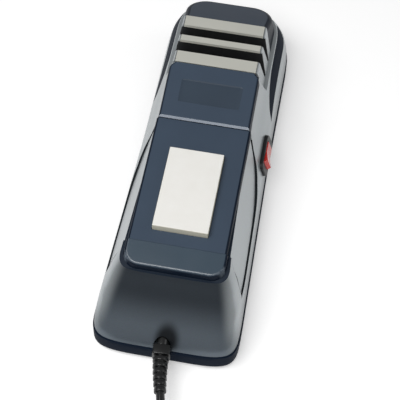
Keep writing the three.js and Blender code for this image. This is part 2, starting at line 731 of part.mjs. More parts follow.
function addTopPieces() {
  const capRear = capSeam - seam / 2;
  const cap = [capPlan(capHalfWidth, capFront, capRear, capCorner, 0), seatAt, () => capThickness];
  addPiece('front_cap', cut(solidOf(topCap(...cap, [capRear])), underCap(...cap)), 'blue');

  const holderFront = capSeam + seam / 2;
  const holderRear = headSeam - seam / 2;
  const stoneBottom = (y) => seatAt(y) + holderThickness - stoneSunk;
  const stonePlan = (grow) => [[-stoneWidth / 2 - grow, stoneFront - grow],
    [stoneWidth / 2 + grow, stoneFront - grow], [stoneWidth / 2 + grow, stoneFront + stoneLength + grow],
    [-stoneWidth / 2 - grow, stoneFront + stoneLength + grow]];
  const pocket = skinOver([(y) => stoneBottom(y) - seam, (y) => stoneBottom(y) + overrun].map(
    (height) => stonePlan(stoneClearance).map(([x, y]) => new THREE.Vector3(x, y, height(y)))));
  const holder = topCap(capPlan(holderHalfWidth, holderFront, holderRear, 0, 0), seatAt,
    () => holderThickness, [holderFront, holderRear]);
  addPiece('stone_holder', cut(solidOf(holder), pocket), 'blue');

  const rise = stoneSunk + stoneProud;
  const stoneHeights = [[0, 0], [rise - stoneCorner, 0], [rise, stoneCorner]];
  addPiece('ceramic_plate', skinOver(stoneHeights.map(([up, drawn]) => stonePlan(-drawn).map(
    ([x, y]) => new THREE.Vector3(x, y, stoneBottom(y) + up)))), 'ceramic');

  const headFront = headSeam + seam / 2;
  const headRear = guideStart - seam / 2;
  const head = [capPlan(headHalfWidth, headFront, headRear, 0, headCorner), seatAt, () => headThickness];
  const recess = capPlan(plateRecessWidth / 2, plateRecessPlace - plateRecessLength / 2,
    plateRecessPlace + plateRecessLength / 2, plateRecessCorner, plateRecessCorner, 3);
  const recessCut = skinOver([-plateRecessDepth, overrun].map((rise) => recess.map(
    ([x, y]) => new THREE.Vector3(x, y, seatAt(y) + headThickness + rise))));
  addPiece('head_cover', cut(solidOf(topCap(...head, [headRear])), recessCut, underCap(...head)), 'blue');

  const coverFront = rearGuideEnd + seam;
  const thickness = (y) => THREE.MathUtils.lerp(rearCoverThickness, rearCoverEdge,
    THREE.MathUtils.clamp((y - coverFront) / (rearCoverEnd - coverFront), 0, 1));
  const coverCorner = rearCoverHalfWidth / 2;
  const cover = [capPlan(rearCoverHalfWidth, coverFront, rearCoverEnd, 0, coverCorner, 7), () => guideSeat,
    thickness];
  addPiece('rear_cover', cut(solidOf(topCap(...cover, [coverFront])), underCap(...cover)), 'blue');
}

// How far the leaning faces of the sharpening head lie behind their upper edge at a height
function leanAt(z) {
  return slotLean * (guideTop - z) / (guideTop - guideSeat);
}

// The side outlines of the head's three blocks, with a knife slot between each two
const headFoot = guideSeat + seam;
const headOutlines = [
  [[guideStart + seam + leanAt(headFoot), headFoot], [slotOneFront + leanAt(headFoot), headFoot],
    [slotOneFront, guideTop], [guideStart + seam, guideTop]],
  [[slotOneRear, headFoot], [slotTwoFront + leanAt(headFoot), headFoot], [slotTwoFront, guideTop],
    [slotOneRear, guideTop]],
  [[slotTwoRear, headFoot], [rearGuideEnd, headFoot], [rearGuideEnd, guideTop], [slotTwoRear, guideTop]]];

// The head's cross-section, between two places along the body
function headSolid(fromY, toY) {
  const section = new THREE.Shape();
  const slope = (guideFootHalfWidth - guideTopHalfWidth) / (guideTop - guideSeat);
  const foot = guideFootHalfWidth - slope * seam;
  const shoulder = guideTopHalfWidth + slope * guideShoulder;
  section.moveTo(-foot, headFoot);
  section.lineTo(foot, headFoot);
  section.lineTo(shoulder, guideTop - guideShoulder);
  section.quadraticCurveTo(guideTopHalfWidth, guideTop, guideTopHalfWidth - guideShoulder, guideTop);
  section.lineTo(guideShoulder - guideTopHalfWidth, guideTop);
  section.quadraticCurveTo(-guideTopHalfWidth, guideTop, -shoulder, guideTop - guideShoulder);
  return solidOf(alongBody(section, fromY, toY));
}

// The room behind a slot that its black lining sits in
function liningRoom(start) {
  return box(-bodyWidth, bodyWidth, start - seam, start + liningThickness + seam, headFoot + railHeight,
    guideTop - liningDrop + seam);
}

function addHeadPieces() {
  const whole = headSolid(guideStart - overrun, rearGuideEnd + overrun);
  const blocks = headOutlines.map((outline) => whole.intersect(solidOf(acrossBody(outline, bodyWidth))));
  const rooms = [slotOneRear, slotTwoRear].map(liningRoom);
  const pockets = [slotOneRear, slotTwoRear].map((start) => rod(discRadius + discPocket, 0, shaftHeight,
    start - overrun, start + pocketDepth, 48));
  const middle = solidOf(box(-insertHalfWidth, insertHalfWidth, guideStart, rearGuideEnd + overrun, headFoot,
    guideTop + overrun));
  addPiece('front_guide', blocks[0].intersect(middle), 'guide');
  addPiece('middle_guide', cut(blocks[1].intersect(middle), rooms[0], pockets[0]), 'guide');
  addPiece('rear_guide', cut(blocks[2].intersect(middle), rooms[1], pockets[1]), 'guide');

  // The silver cheeks beside the guides: three teeth on a rail
  const rail = whole.intersect(solidOf(box(-bodyWidth, bodyWidth, guideStart + seam + leanAt(headFoot),
    rearGuideEnd, headFoot, headFoot + railHeight)));
  const comb = cut(blocks.reduce((sum, block) => sum.add(block), rail), ...rooms);
  const beside = insertHalfWidth + seam;
  for (const [name, from, to] of [['head_cheek_left', -bodyWidth, -beside],
    ['head_cheek_right', beside, bodyWidth]]) {
    const half = box(from, to, guideStart, rearGuideEnd + overrun, headFoot - overrun, guideTop + overrun);
    addPiece(name, comb.intersect(solidOf(half)), 'silver');
  }

  [slotOneRear, slotTwoRear].forEach((start, i) => {
    const plate = headSolid(start, start + liningThickness).intersect(solidOf(box(-bodyWidth, bodyWidth,
      start - overrun, start + overrun, headFoot + railHeight + seam, guideTop - liningDrop)));
    addPiece(`slot_lining_${['front', 'rear'][i]}`, cut(plate, pockets[i]), 'black');
  });
}

// The bore of every piece that turns or slides on the shaft
const shaftBore = shaftRadius + shaftClearance;

function addDisc(number, front) {
  const plateFront = front + ringThickness;
  const hubEnd = plateFront + discPlate + hubLength;
  const pinPlace = hubEnd - drivePinRadius + discTravel - seam;
  addPiece(`abrasive_ring_${number}`, sleeve(discRadius, ringInner, 0, shaftHeight, front, plateFront, 40),
    'grit');
  const plate = sleeve(discRadius, shaftBore, 0, shaftHeight, plateFront + seam / 2,
    plateFront + discPlate, 40);
  const hub = sleeve(hubRadius, shaftBore, 0, shaftHeight, plateFront + discPlate / 2, hubEnd, 24);
  const reach = hubRadius + 1 * seam;
  const slot = box(-reach, reach, hubEnd - hubSlot, hubEnd + overrun, shaftHeight - drivePinRadius - seam,
    shaftHeight + drivePinRadius + seam);
  addPiece(`disc_holder_${number}`, cut(join(plate, hub), slot), 'black');

  const springStart = plateFront + discPlate + seam;
  const wire = springWire / 2;
  const steps = springTurns * 8;
  const middle = springRadius - wire;
  const travel = springLength - springWire;
  const curl = Array.from({ length: steps + 1 }, (_, i) => new THREE.Vector3(
    middle * Math.cos((i / 8) * fullTurn), springStart + wire + travel * (i / steps),
    shaftHeight + middle * Math.sin((i / 8) * fullTurn)));
  addPiece(`disc_spring_${number}`, curlTube(curl, wire, 5), 'steel');

  const collarStart = springStart + springLength + seam;
  addPiece(`shaft_collar_${number}`, sleeve(collarRadius, shaftBore, 0, shaftHeight, collarStart,
    collarStart + collarLength, 24), 'steel');
  addPiece(`disc_clip_${number}`, sleeve(clipRadius, shaftBore, 0, shaftHeight,
    plateFront - seam - clipThickness, plateFront - seam, 24), 'steel');
  return pinPlace;
}

// A helix of wire about the shaft, its section held square to the wire
function curlTube(points, radius, sides) {
  const axis = new THREE.Vector3(0, 0, shaftHeight);
  const rings = points.map((p, i) => {
    const before = points[Math.max(i - 1, 0)];
    const after = points[Math.min(i + 1, points.length - 1)];
    const along = after.clone().sub(before).normalize();
    const out = new THREE.Vector3(p.x - axis.x, 0, p.z - axis.z).normalize();
    const side = along.clone().cross(out).normalize();
    return Array.from({ length: sides }, (_, s) => p.clone()
      .addScaledVector(out, radius * Math.cos((s / sides) * fullTurn))
      .addScaledVector(side, -radius * Math.sin((s / sides) * fullTurn)));
  });
  return ringTube(rings, sides);
}

function ringTube(rings, sides) {
  const faces = [];
  for (let r = 0; r + 1 < rings.length; r += 1) {
    for (let s = 0; s < sides; s += 1) {
      const a = r * sides + s;
      const b = r * sides + (s + 1) % sides;
      faces.push(a, b + sides, b, a, a + sides, b + sides);
    }
  }
  const last = (rings.length - 1) * sides;
  for (let s = 1; s + 1 < sides; s += 1) {
    faces.push(0, s, s + 1, last, last + s + 1, last + s);
  }
  const geometry = new THREE.BufferGeometry().setFromPoints(rings.flat());
  geometry.setIndex(faces);
  return geometry;
}

function addShaftLine() {
  const pins = [addDisc(1, ringOneFront), addDisc(2, ringTwoFront)];
  const start = motorCentre - stackLength / 2 - bracketReach() - bracketThickness - fanGap - fanLength - seam;
  const shaft = join(rod(shaftRadius, 0, shaftHeight, start, chamberRear - seam),
    ...pins.map((y) => new THREE.CylinderGeometry(drivePinRadius, drivePinRadius, 2 * drivePinReach, 12)
      .rotateZ(Math.PI / 2).translate(0, y, shaftHeight)));
  addPiece('drive_shaft', shaft, 'steel');
}

// How far the motor's brackets stand off the stack, past the coils' ends
function bracketReach() {
  return windowWidth + bracketGap;
}

function addMotor() {
  const front = motorCentre - stackLength / 2;
  const rear = motorCentre + stackLength / 2;
  const boltHeight = (windowHalfHeight + stackHalfHeight) / 2;
  const bolts = [-boltHeight, boltHeight];
  const stack = alongBody(roundedRectangle(2 * stackHalfWidth, 2 * stackHalfHeight, 4 * boltRadius),
    front, rear).translate(0, 0, shaftHeight);
  const windows = [-1, 1].map((side) => {
    const inner = side * poleHalfWidth;
    const outer = side * (poleHalfWidth + windowWidth);
    return box(Math.min(inner, outer), Math.max(inner, outer), front - overrun, rear + overrun,
      shaftHeight - windowHalfHeight, shaftHeight + windowHalfHeight);
  });
  const bore = rod(boreRadius, 0, shaftHeight, front - overrun, rear + overrun, 32);
  addPiece('motor_stack', cut(solidOf(stack), bore, ...windows, ...bolts.map((z) => rod(
    boltRadius + seam, 0, shaftHeight + z, front - overrun, rear + overrun, 12))), 'iron');

  const innerX = poleHalfWidth + seam;
  const innerY = stackLength / 2 + seam;
  const build = windowWidth - 2 * seam;
  for (const [name, side] of [['motor_coil_upper', 1], ['motor_coil_lower', -1]]) {
    const low = side * (boreRadius + seam);
    const high = side * (windowHalfHeight - seam);
    const outline = roundedRectangle(2 * (innerX + build), 2 * (innerY + build), build);
    outline.holes.push(new THREE.Path(roundedRectangle(2 * innerX, 2 * innerY, seam).getPoints(3).reverse()));
    const options = { depth: Math.abs(high - low), bevelEnabled: false, curveSegments: 4 };
    addPiece(name, new THREE.ExtrudeGeometry(outline, options)
      .translate(0, motorCentre, shaftHeight + Math.min(low, high)), 'copper');
  }

  addPiece('rotor_core', sleeve(rotorRadius, shaftBore, 0, shaftHeight, front, rear, 32), 'iron');
  const stand = bracketReach();
  for (const [name, side] of [['front', -1], ['rear', 1]]) {
    const face = motorCentre + side * (stackLength / 2 + stand);
    const outerFace = face + side * bracketThickness;
    const span = (a, b) => [Math.min(a, b), Math.max(a, b)];
    const [plateFrom, plateTo] = span(face, outerFace);
    const bossEnd = outerFace - side * bushLength;
    const [bossFrom, bossTo] = span(bossEnd, outerFace);
    const [postFrom, postTo] = span(motorCentre + side * (stackLength / 2 + seam), face + side * seam);
    const plate = alongBody(roundedRectangle(2 * bracketHalfWidth, 2 * stackHalfHeight, 2 * postRadius),
      plateFrom, plateTo).translate(0, 0, shaftHeight);
    const posts = bolts.map((z) => rod(postRadius, 0, shaftHeight + z, postFrom, postTo, 16));
    const boss = rod(bushRadius + bossWall, 0, shaftHeight, bossFrom, bossTo, 24);
    const bore = rod(bushRadius + seam, 0, shaftHeight, bossFrom - overrun, bossTo + overrun, 24);
    const boltHoles = bolts.map((z) => rod(boltRadius + seam, 0, shaftHeight + z, postFrom - overrun,
      postTo + overrun, 12));
    addPiece(`${name}_bracket`, cut(join(plate, boss, ...posts), bore, ...boltHoles), 'steel');
    addPiece(`${name}_bush`, sleeve(bushRadius, shaftBore, 0, shaftHeight, bossFrom, bossTo, 24), 'bronze');
  }
  const boltFrom = front - stand - bracketThickness;
  const boltTo = rear + stand + bracketThickness + boltHead;
  bolts.forEach((z, i) => addPiece(`motor_bolt_${['lower', 'upper'][i]}`,
    join(rod(boltRadius, 0, shaftHeight + z, boltFrom, boltTo, 12),
      rod(boltHeadRadius, 0, shaftHeight + z, boltFrom - boltHead - seam, boltFrom - seam / 2, 6),
      rod(boltRadius, 0, shaftHeight + z, boltFrom - boltHead, boltFrom + seam, 12)), 'steel'));

  const fanRear = boltFrom - fanGap;
  const fanFront = fanRear - fanLength;
  const blades = Array.from({ length: fanBlades }, (_, i) => box(fanHub - seam, fanRadius - seam,
    fanFront, fanRear - fanDisc / 2, -fanBlade / 2, fanBlade / 2)
    .rotateY((i / fanBlades) * fullTurn).translate(0, 0, shaftHeight));
  addPiece('cooling_fan', join(sleeve(fanHub, shaftBore, 0, shaftHeight, fanFront, fanRear, 24),
    sleeve(fanRadius, fanHub - seam, 0, shaftHeight, fanRear - fanDisc, fanRear, 32), ...blades), 'black');
}

function addChamber() {
  const bottom = floorTop + seam;
  const outer = box(-chamberHalfWidth, chamberHalfWidth, chamberFront, chamberRear, bottom, guideSeat);
  const inner = box(chamberWall - chamberHalfWidth, chamberHalfWidth - chamberWall,
    chamberFront + chamberWall, chamberRear - chamberWall, bottom + chamberWall, guideSeat + overrun);
  const boss = rod(bushRadius + bossWall, 0, shaftHeight, chamberRear - bushLength, chamberRear, 24);
  const holes = [rod(bushRadius + seam, 0, shaftHeight, chamberRear - bushLength - overrun,
    chamberRear + overrun, 24), rod(shaftRadius + 4 * seam, 0, shaftHeight, chamberFront - overrun,
    chamberFront + chamberWall + overrun, 24)];
  addPiece('grinding_chamber', cut(cut(solidOf(outer), inner).add(solidOf(boss)), ...holes), 'black');
  addPiece('rear_shaft_bush', sleeve(bushRadius, shaftBore, 0, shaftHeight, chamberRear - bushLength,
    chamberRear, 24), 'bronze');
}

function addSwitch() {
  const wellLength = rockerLength + 2 * rockerGap;
  const wellWidth = rockerWidth + 2 * rockerGap;
  const bezel = switchPlate(bezelLength, bezelWidth, bezelCorner, -bezelSunk, bezelProud);
  const body = box(-bezelSunk - switchBodyDepth, 0, -wellLength / 2 - switchBodyWall,
    wellLength / 2 + switchBodyWall, -wellWidth / 2 - switchBodyWall, wellWidth / 2 + switchBodyWall);
  const well = box(-rockerWell, overrun, -wellLength / 2, wellLength / 2, -wellWidth / 2, wellWidth / 2);
  addPiece('switch_body', cut(join(bezel, body), well), 'black', switchGroup);

  const end = rockerLength / 2;
  const rise = end * Math.tan(THREE.MathUtils.degToRad(rockerRest));
  const deep = rockerDepth - rockerPivot;
  const shape = new THREE.Shape();
  const lowTurn = Math.asin(deep / end);
  const highTurn = Math.asin((rise + rockerCrown) / end);
  shape.moveTo(-deep, -end * Math.cos(lowTurn));
  shape.absarc(0, 0, end, -Math.PI / 2 - lowTurn, -Math.PI / 2 + highTurn, false);
  shape.lineTo(rockerCrown, 0);
  shape.absarc(0, 0, end, Math.PI / 2 - highTurn, Math.PI / 2 + lowTurn, false);
  const options = { depth: rockerWidth, bevelEnabled: false, curveSegments: 6 };
  addPiece('switch_rocker', new THREE.ExtrudeGeometry(shape, options).translate(0, 0, -rockerWidth / 2)
    .rotateZ(THREE.MathUtils.degToRad(rockerRest)).translate(-rockerPivot, 0, 0), 'red', switchGroup);
}

function addFeetAndScrews() {
  const corners = ['front_left', 'front_right', 'rear_left', 'rear_right'];
  footPlaces.forEach(([x, y], i) => {
    const foot = [[footRadius - edgeRound / 2, 0], [footRadius, edgeRound / 2],
      [footRadius, footHeight + footSunk]].map(([radius, z]) => Array.from({ length: 20 }, (_, k) => {
      const turn = (k / 20) * fullTurn;
      return new THREE.Vector3(x + radius * Math.cos(turn), y + radius * Math.sin(turn), z);
    }));
    addPiece(`foot_${corners[i]}`, skinOver(foot), 'rubber');
  });
  screwPlaces.forEach(([x, y], i) => {
    const seatHeight = footHeight + screwSunk - seam;
    const screw = join(post(screwHeadRadius, x, y, seatHeight - screwHeadHeight, seatHeight),
      post(screwRadius, x, y, seatHeight - screwHeadHeight / 2, seatHeight + screwLength, 12));
    addPiece(`base_screw_${corners[i]}`, screw, 'steel');
  });
}

function addCordEntry() {
  const neckStart = scoopEnd - seam;
  const step = (reliefLength - reliefCollar) / ribCount;
  const profile = [[0, 0], [reliefRadius, 0], [reliefRadius, reliefCollar]];
  for (let i = 0; i < ribCount; i += 1) {
    const start = reliefCollar + i * step;
    const radius = THREE.MathUtils.lerp(reliefRadius, reliefTip, (i + 1) / ribCount);
    profile.push([radius - ribDepth, start], [radius - ribDepth, start + step * ribGapShare],
      [radius, start + step * ribGapShare], [radius, start + step]);
  }
  profile.push([0, reliefLength]);
  const outside = new THREE.LatheGeometry(profile.map(([r, s]) => new THREE.Vector2(r, s)), ribSides)
    .rotateZ(Math.PI);
  const bend = THREE.MathUtils.degToRad(reliefBend);
  const bow = reliefLength / bend;
  const position = outside.attributes.position;
  for (let i = 0; i < position.count; i += 1) {
    const turn = -position.getY(i) / bow;
    const across = position.getX(i);
    position.setXYZ(i, bow * (1 - Math.cos(turn)) + across * Math.cos(turn),
      -bow * Math.sin(turn) + across * Math.sin(turn), position.getZ(i));
  }
  outside.translate(0, neckStart, cordHeight);
  const wallInner = scoopEnd + housingWall + seam;
  const inside = [rod(reliefNeck, 0, cordHeight, neckStart - seam, wallInner + seam, 20),
    rod(reliefFlange, 0, cordHeight, wallInner, wallInner + reliefFlangeLength, 20),
    rod(reliefInsideRadius, 0, cordHeight, wallInner, wallInner + reliefInside, 20)];
  addPiece('strain_relief', join(outside, ...inside), 'rubber');

  const leadStart = wallInner + reliefInside + seam;
  const leadEnd = terminalPlace - seam;
  addPiece('inner_lead', rod(cordRadius, 0, cordHeight, leadStart, leadEnd, 12), 'rubber');
  const block = box(-terminalWidth / 2, terminalWidth / 2, terminalPlace, terminalPlace + terminalLength,
    floorTop + seam, cordHeight + terminalHeight / 2);
  const wells = Array.from({ length: terminalHoles }, (_, i) => post(terminalHoleRadius,
    (i - (terminalHoles - 1) / 2) * terminalWidth / terminalHoles, terminalPlace + terminalLength / 2,
    cordHeight, cordHeight + terminalHeight));
  addPiece('terminal_block', cut(solidOf(block), ...wells), 'black');
}

// The spare cord's coil: two layers, in and out again, climbing a layer where the spiral turns back
function coilPoints() {
  const centreX = coilStartX - coilRadius;
  const turnBack = Math.ceil(coilTurns / 2) * fullTurn;
  const whole = coilTurns * fullTurn;
  const low = cordRadius + coilLift;
  const count = Math.round(coilTurns * coilSteps);
  const points = [new THREE.Vector3(coilStartX, coilCentreY + cordDiameter, low)];
  for (let i = 0; i <= count; i += 1) {
    const turn = (i / count) * whole;
    const radius = coilRadius - coilPitch * (turnBack - Math.abs(turn - turnBack)) / fullTurn;
    const climb = THREE.MathUtils.smoothstep(turn, turnBack - Math.PI / 2, turnBack + Math.PI / 2);
    points.push(new THREE.Vector3(centreX + radius * Math.cos(turn), coilCentreY - radius * Math.sin(turn),
      low + coilPitch * climb));
  }
  const end = points[points.length - 1];
  const heading = new THREE.Vector3(-Math.sin(whole), -Math.cos(whole), 0);
  points.push(end.clone().addScaledVector(heading, cordDiameter));
  return points;
}

function leastGap(points) {
  let least = Infinity;
  const fine = new THREE.CatmullRomCurve3(points).getPoints(points.length * 4);
  const lengths = [0];
  fine.forEach((p, i) => { if (i) lengths.push(lengths[i - 1] + p.distanceTo(fine[i - 1])); });
  for (let i = 0; i < fine.length; i += 1) {
    for (let k = i + 1; k < fine.length; k += 1) {
      if (lengths[k] - lengths[i] > 3 * cordDiameter) least = Math.min(least, fine[i].distanceTo(fine[k]));
    }
  }
  return least - cordDiameter;
}

function extrudedTube(points, steps) {
  const section = new THREE.Shape(Array.from({ length: leadSides }, (_, i) => new THREE.Vector2(
    cordRadius * Math.cos((i / leadSides) * fullTurn), cordRadius * Math.sin((i / leadSides) * fullTurn))));
  return new THREE.ExtrudeGeometry(section, { steps, extrudePath: new THREE.CatmullRomCurve3(points) });
}

// The free stretch from the strain relief to the coil, points chosen by hand, told from the nose end
const leadPoints = [[6.4, -36.6, 22], [7, -39, 22], [9.2, -47.5, 21], [11.2, -56.5, 17.6], [12.8, -66.5, 12],
  [13.7, -76.5, 7], [14, -84.5, 4.6], [14, -90, 4.4], [14, -93.6, 4.4]];
// The short stretch from the coil's end down to the plug
const tailPoints = [[-39.9, -142.1, 11.6], [-43, -142.1, 11.6], [-47, -142.7, 11.6], [-52, -145, 11.3],
  [-57, -148.5, 9.9], [-61, -151.5, 8.2], [-65, -153.3, 7], [-69, -153.3, 6.85]];

function addCord() {
  const points = coilPoints();
  const told = (p) => p.toArray().map((v) => v.toFixed(1)).join(' ');
  console.log(`coil: least gap ${leastGap(points).toFixed(2)} mm,`,
    `length ${new THREE.CatmullRomCurve3(points).getLength().toFixed(0)} mm,`,
    `ends ${told(points[0])}, ${told(points[points.length - 1])}`);
  addPiece('cord_coil', sweptTube(points, cordRadius, coilSides), 'rubber');
  const vectors = (list) => list.map(([x, y, z]) => new THREE.Vector3(x, y - halfLength, z));
  const lead = vectors(leadPoints);
  const tail = vectors(tailPoints);
  console.log(`lead ${new THREE.CatmullRomCurve3(lead).getLength().toFixed(0)} mm,`,
    `tail ${new THREE.CatmullRomCurve3(tail).getLength().toFixed(0)} mm`);
  addPiece('cord_lead', extrudedTube(lead, 14), 'rubber');
  addPiece('cord_tail', extrudedTube(tail, 8), 'rubber');

  // A strap round the coil's loops
  const turn = tieTurnShare * fullTurn;
  const centre = new THREE.Vector3(coilStartX - coilRadius, coilCentreY, 0);
  const near = points.filter((p) => {
    const angle = Math.atan2(centre.y - p.y, p.x - centre.x);
    return Math.cos(angle - turn) > Math.cos(tieWidth / coilRadius);
  }).map((p) => Math.hypot(p.x - centre.x, p.y - centre.y));
  const inner = Math.min(...near) - cordRadius - tieSideGap;
  const outer = Math.max(...near) + cordRadius + tieSideGap;
  const height = 2 * cordRadius + coilPitch + 2 * tieGap;
  const strap = roundedRectangle(outer - inner + 2 * tieThickness, height + 2 * tieThickness, tieThickness);
  strap.holes.push(new THREE.Path(roundedRectangle(outer - inner, height, tieGap).getPoints(2).reverse()));
  const options = { depth: tieWidth, bevelEnabled: false, curveSegments: 3 };
  addPiece('cord_tie', new THREE.ExtrudeGeometry(strap, options)
    .translate((inner + outer) / 2, coilLift - tieGap + height / 2, -tieWidth / 2).rotateX(Math.PI / 2)
    .rotateZ(-turn).translate(centre.x, centre.y, 0), 'black');
}

function addPlug() {
  const x = -plugAside;
  const y = -halfLength - plugAhead;
  const middle = plugThickness / 2;
  const rings = plugShares.map(([share, wide, high]) => {
    const width = plugFace * wide;
    const height = plugThickness * high;
    const shape = roundedRectangle(width, height, Math.min(plugCorner, height / 3)).getPoints(3);
    return shape.slice(0, -1).map((p) => new THREE.Vector3(p.x, p.y, -share * plugLength));
  }).reverse();
  // The rings stand square to the plug's length, its tail towards the cord
  const body = skinOver(rings).rotateX(Math.PI / 2).rotateZ(-Math.PI / 2);
  const place = (geometry) => geometry.translate(x - plugLength, y, middle);
  addPiece('plug_body', place(body), 'rubber');
  for (const [name, side] of [['plug_pin_left', -1], ['plug_pin_right', 1]]) {
    const pin = new THREE.CylinderGeometry(pinRadius, pinRadius, pinLength, 12).rotateZ(Math.PI / 2)
      .translate(-pinLength / 2 - seam, side * pinSpacing / 2, 0);
    addPiece(name, place(pin), 'steel');
  }
}

addBaseTray();
addHousing();
addInlays();
addTopPieces();
addHeadPieces();
addShaftLine();
addMotor();
addChamber();
addSwitch();
addFeetAndScrews();
addCordEntry();
addCord();
addPlug();

export default sharpener;
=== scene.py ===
import math

import bmesh
import bpy
from mathutils import Matrix, Vector


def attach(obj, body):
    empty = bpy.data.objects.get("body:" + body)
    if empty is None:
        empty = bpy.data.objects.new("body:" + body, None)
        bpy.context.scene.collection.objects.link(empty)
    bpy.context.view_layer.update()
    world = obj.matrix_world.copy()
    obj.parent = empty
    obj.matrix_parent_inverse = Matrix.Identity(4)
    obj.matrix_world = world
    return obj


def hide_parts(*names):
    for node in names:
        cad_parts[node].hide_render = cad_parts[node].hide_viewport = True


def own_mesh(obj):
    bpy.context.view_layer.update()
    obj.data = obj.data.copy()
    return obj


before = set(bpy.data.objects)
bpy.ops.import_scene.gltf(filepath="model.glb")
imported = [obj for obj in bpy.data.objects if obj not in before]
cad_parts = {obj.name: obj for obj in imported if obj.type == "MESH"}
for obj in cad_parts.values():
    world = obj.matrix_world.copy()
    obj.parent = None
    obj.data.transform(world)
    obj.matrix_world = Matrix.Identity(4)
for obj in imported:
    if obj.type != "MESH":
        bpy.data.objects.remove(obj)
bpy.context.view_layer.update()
bpy.ops.object.select_all(action="DESELECT")
mm = 0.001  # the sizes below are in millimetres
print("frame loaded")


# Small helpers, which take millimetres

def linear(hexColour):
    # sRGB hex to the linear colour that shaders take
    channels = [int(hexColour[i:i + 2], 16) / 255 for i in (1, 3, 5)]
    return [c / 12.92 if c <= 0.04045 else ((c + 0.055) / 1.055) ** 2.4 for c in channels] + [1.0]


def clear():
    if bpy.context.object and bpy.context.object.mode == "EDIT":
        bpy.ops.object.mode_set(mode="OBJECT")
    bpy.ops.object.select_all(action="DESELECT")


def activate(piece):
    clear()
    piece.select_set(True)
    bpy.context.view_layer.objects.active = piece


def edit(piece):
    activate(piece)
    bpy.ops.object.mode_set(mode="EDIT")


def pick(kind, test):
    # in edit mode: selects only the vertices, edges or faces that pass the test, which gets millimetres
    bpy.ops.mesh.select_mode(type=kind)
    bpy.ops.mesh.select_all(action="DESELECT")
    data = bpy.context.object.data
    mesh = bmesh.from_edit_mesh(data)
    for part in {"VERT": mesh.verts, "EDGE": mesh.edges, "FACE": mesh.faces}[kind]:
        if kind == "VERT":
            chosen = test(part.co / mm)
        elif kind == "EDGE":
            chosen = test(part.verts[0].co / mm, part.verts[1].co / mm)
        else:
            chosen = test(part.calc_center_median() / mm, part.normal)
        if chosen:
            part.select_set(True)
    mesh.select_flush_mode()
    bmesh.update_edit_mesh(data)


def move(y=0, z=0):
    bpy.ops.transform.translate(value=(0, y * mm, z * mm))


def stretch(x=1, y=1, z=1, about=(0, 0, 0)):
    bpy.ops.transform.resize(value=(x, y, z), center_override=[c * mm for c in about])


def roundEdges(width, segments=3, profile=0.5):
    bpy.ops.mesh.bevel(offset=width * mm, segments=segments, profile=profile, affect="EDGES")


def roundPicked(piece, test, width, segments=3, profile=0.5):
    # rounds the edges of a piece whose two ends pass the test
    edit(piece)
    pick("EDGE", test)
    roundEdges(width, segments, profile)
    clear()


def applyModifier(piece, kind, **settings):
    activate(piece)
    modifier = piece.modifiers.new(kind.title(), kind)
    for name, value in settings.items():
        setattr(modifier, name, value)
    bpy.ops.object.modifier_apply(modifier=modifier.name)


def softEdges(piece, width, segments=2, angle=40):
    applyModifier(piece, "BEVEL", width=width * mm, segments=segments, limit_method="ANGLE",
                  angle_limit=math.radians(angle), harden_normals=False)


def carve(piece, cutter, operation="DIFFERENCE", keep=False):
    applyModifier(piece, "BOOLEAN", object=cutter, operation=operation, solver="EXACT")
    if not keep:
        bpy.data.objects.remove(cutter)


def leaving(material, cutter):
    # the faces that this cutter leaves get the material, which the piece has too
    cutter.data.materials.append(material)
    cutter.data.materials.append(material)
    for face in cutter.data.polygons:
        face.material_index = 1
    return cutter


def named(name):
    piece = bpy.context.object
    piece.name = name
    bpy.ops.object.transform_apply(location=True, rotation=True, scale=True)
    return piece


def block(name, low, high):
    bpy.ops.mesh.primitive_cube_add(size=1, location=[(a + b) / 2 * mm for a, b in zip(low, high)])
    bpy.ops.transform.resize(value=[(b - a) * mm for a, b in zip(low, high)])
    return named(name)


def cylinder(name, radius, depth, place, along="Z", vertices=48):
    turns = {"X": (0, math.pi / 2, 0), "Y": (math.pi / 2, 0, 0), "Z": (0, 0, 0)}
    bpy.ops.mesh.primitive_cylinder_add(vertices=vertices, radius=radius * mm, depth=depth * mm,
                                        location=[c * mm for c in place], rotation=turns[along])
    return named(name)


def fromPoints(name, points, faces, edges=()):
    data = bpy.data.meshes.new(name)
    data.from_pydata([[c * mm for c in p] for p in points], list(edges), faces)
    data.update()
    piece = bpy.data.objects.new(name, data)
    bpy.context.collection.objects.link(piece)
    return piece


def wire(name, points, radius, resolution):
    # a round wire along the points, as a curve
    curve = bpy.data.curves.new(name, "CURVE")
    curve.dimensions = "3D"
    spline = curve.splines.new("POLY")
    spline.points.add(len(points) - 1)
    for point, place in zip(spline.points, points):
        point.co = (*[c * mm for c in place], 1)
    curve.bevel_depth = radius * mm
    curve.bevel_resolution = resolution
    curve.use_fill_caps = True
    piece = bpy.data.objects.new(name, curve)
    bpy.context.collection.objects.link(piece)
    return piece


def outwards(piece):
    edit(piece)
    bpy.ops.mesh.select_all(action="SELECT")
    bpy.ops.mesh.remove_doubles(threshold=0.001 * mm)
    bpy.ops.mesh.normals_make_consistent(inside=False)
    clear()


def spun(name, profile, centre, along="Y", steps=64, closed=True):
    # a profile of (radius, place along the axis) turned into a ring or a solid
    points = {"Y": [(centre[0] + r, s, centre[2]) for r, s in profile],
              "Z": [(centre[0] + r, centre[1], s) for r, s in profile]}[along]
    count = len(points)
    edges = [(i, (i + 1) % count) for i in range(count if closed else count - 1)]
    piece = fromPoints(name, points, [], edges)
    edit(piece)
    bpy.ops.mesh.select_all(action="SELECT")
    axis = {"Y": (0, 1, 0), "Z": (0, 0, 1)}[along]
    bpy.ops.mesh.spin(steps=steps, angle=math.tau, center=[c * mm for c in centre], axis=axis)
    outwards(piece)
    return piece


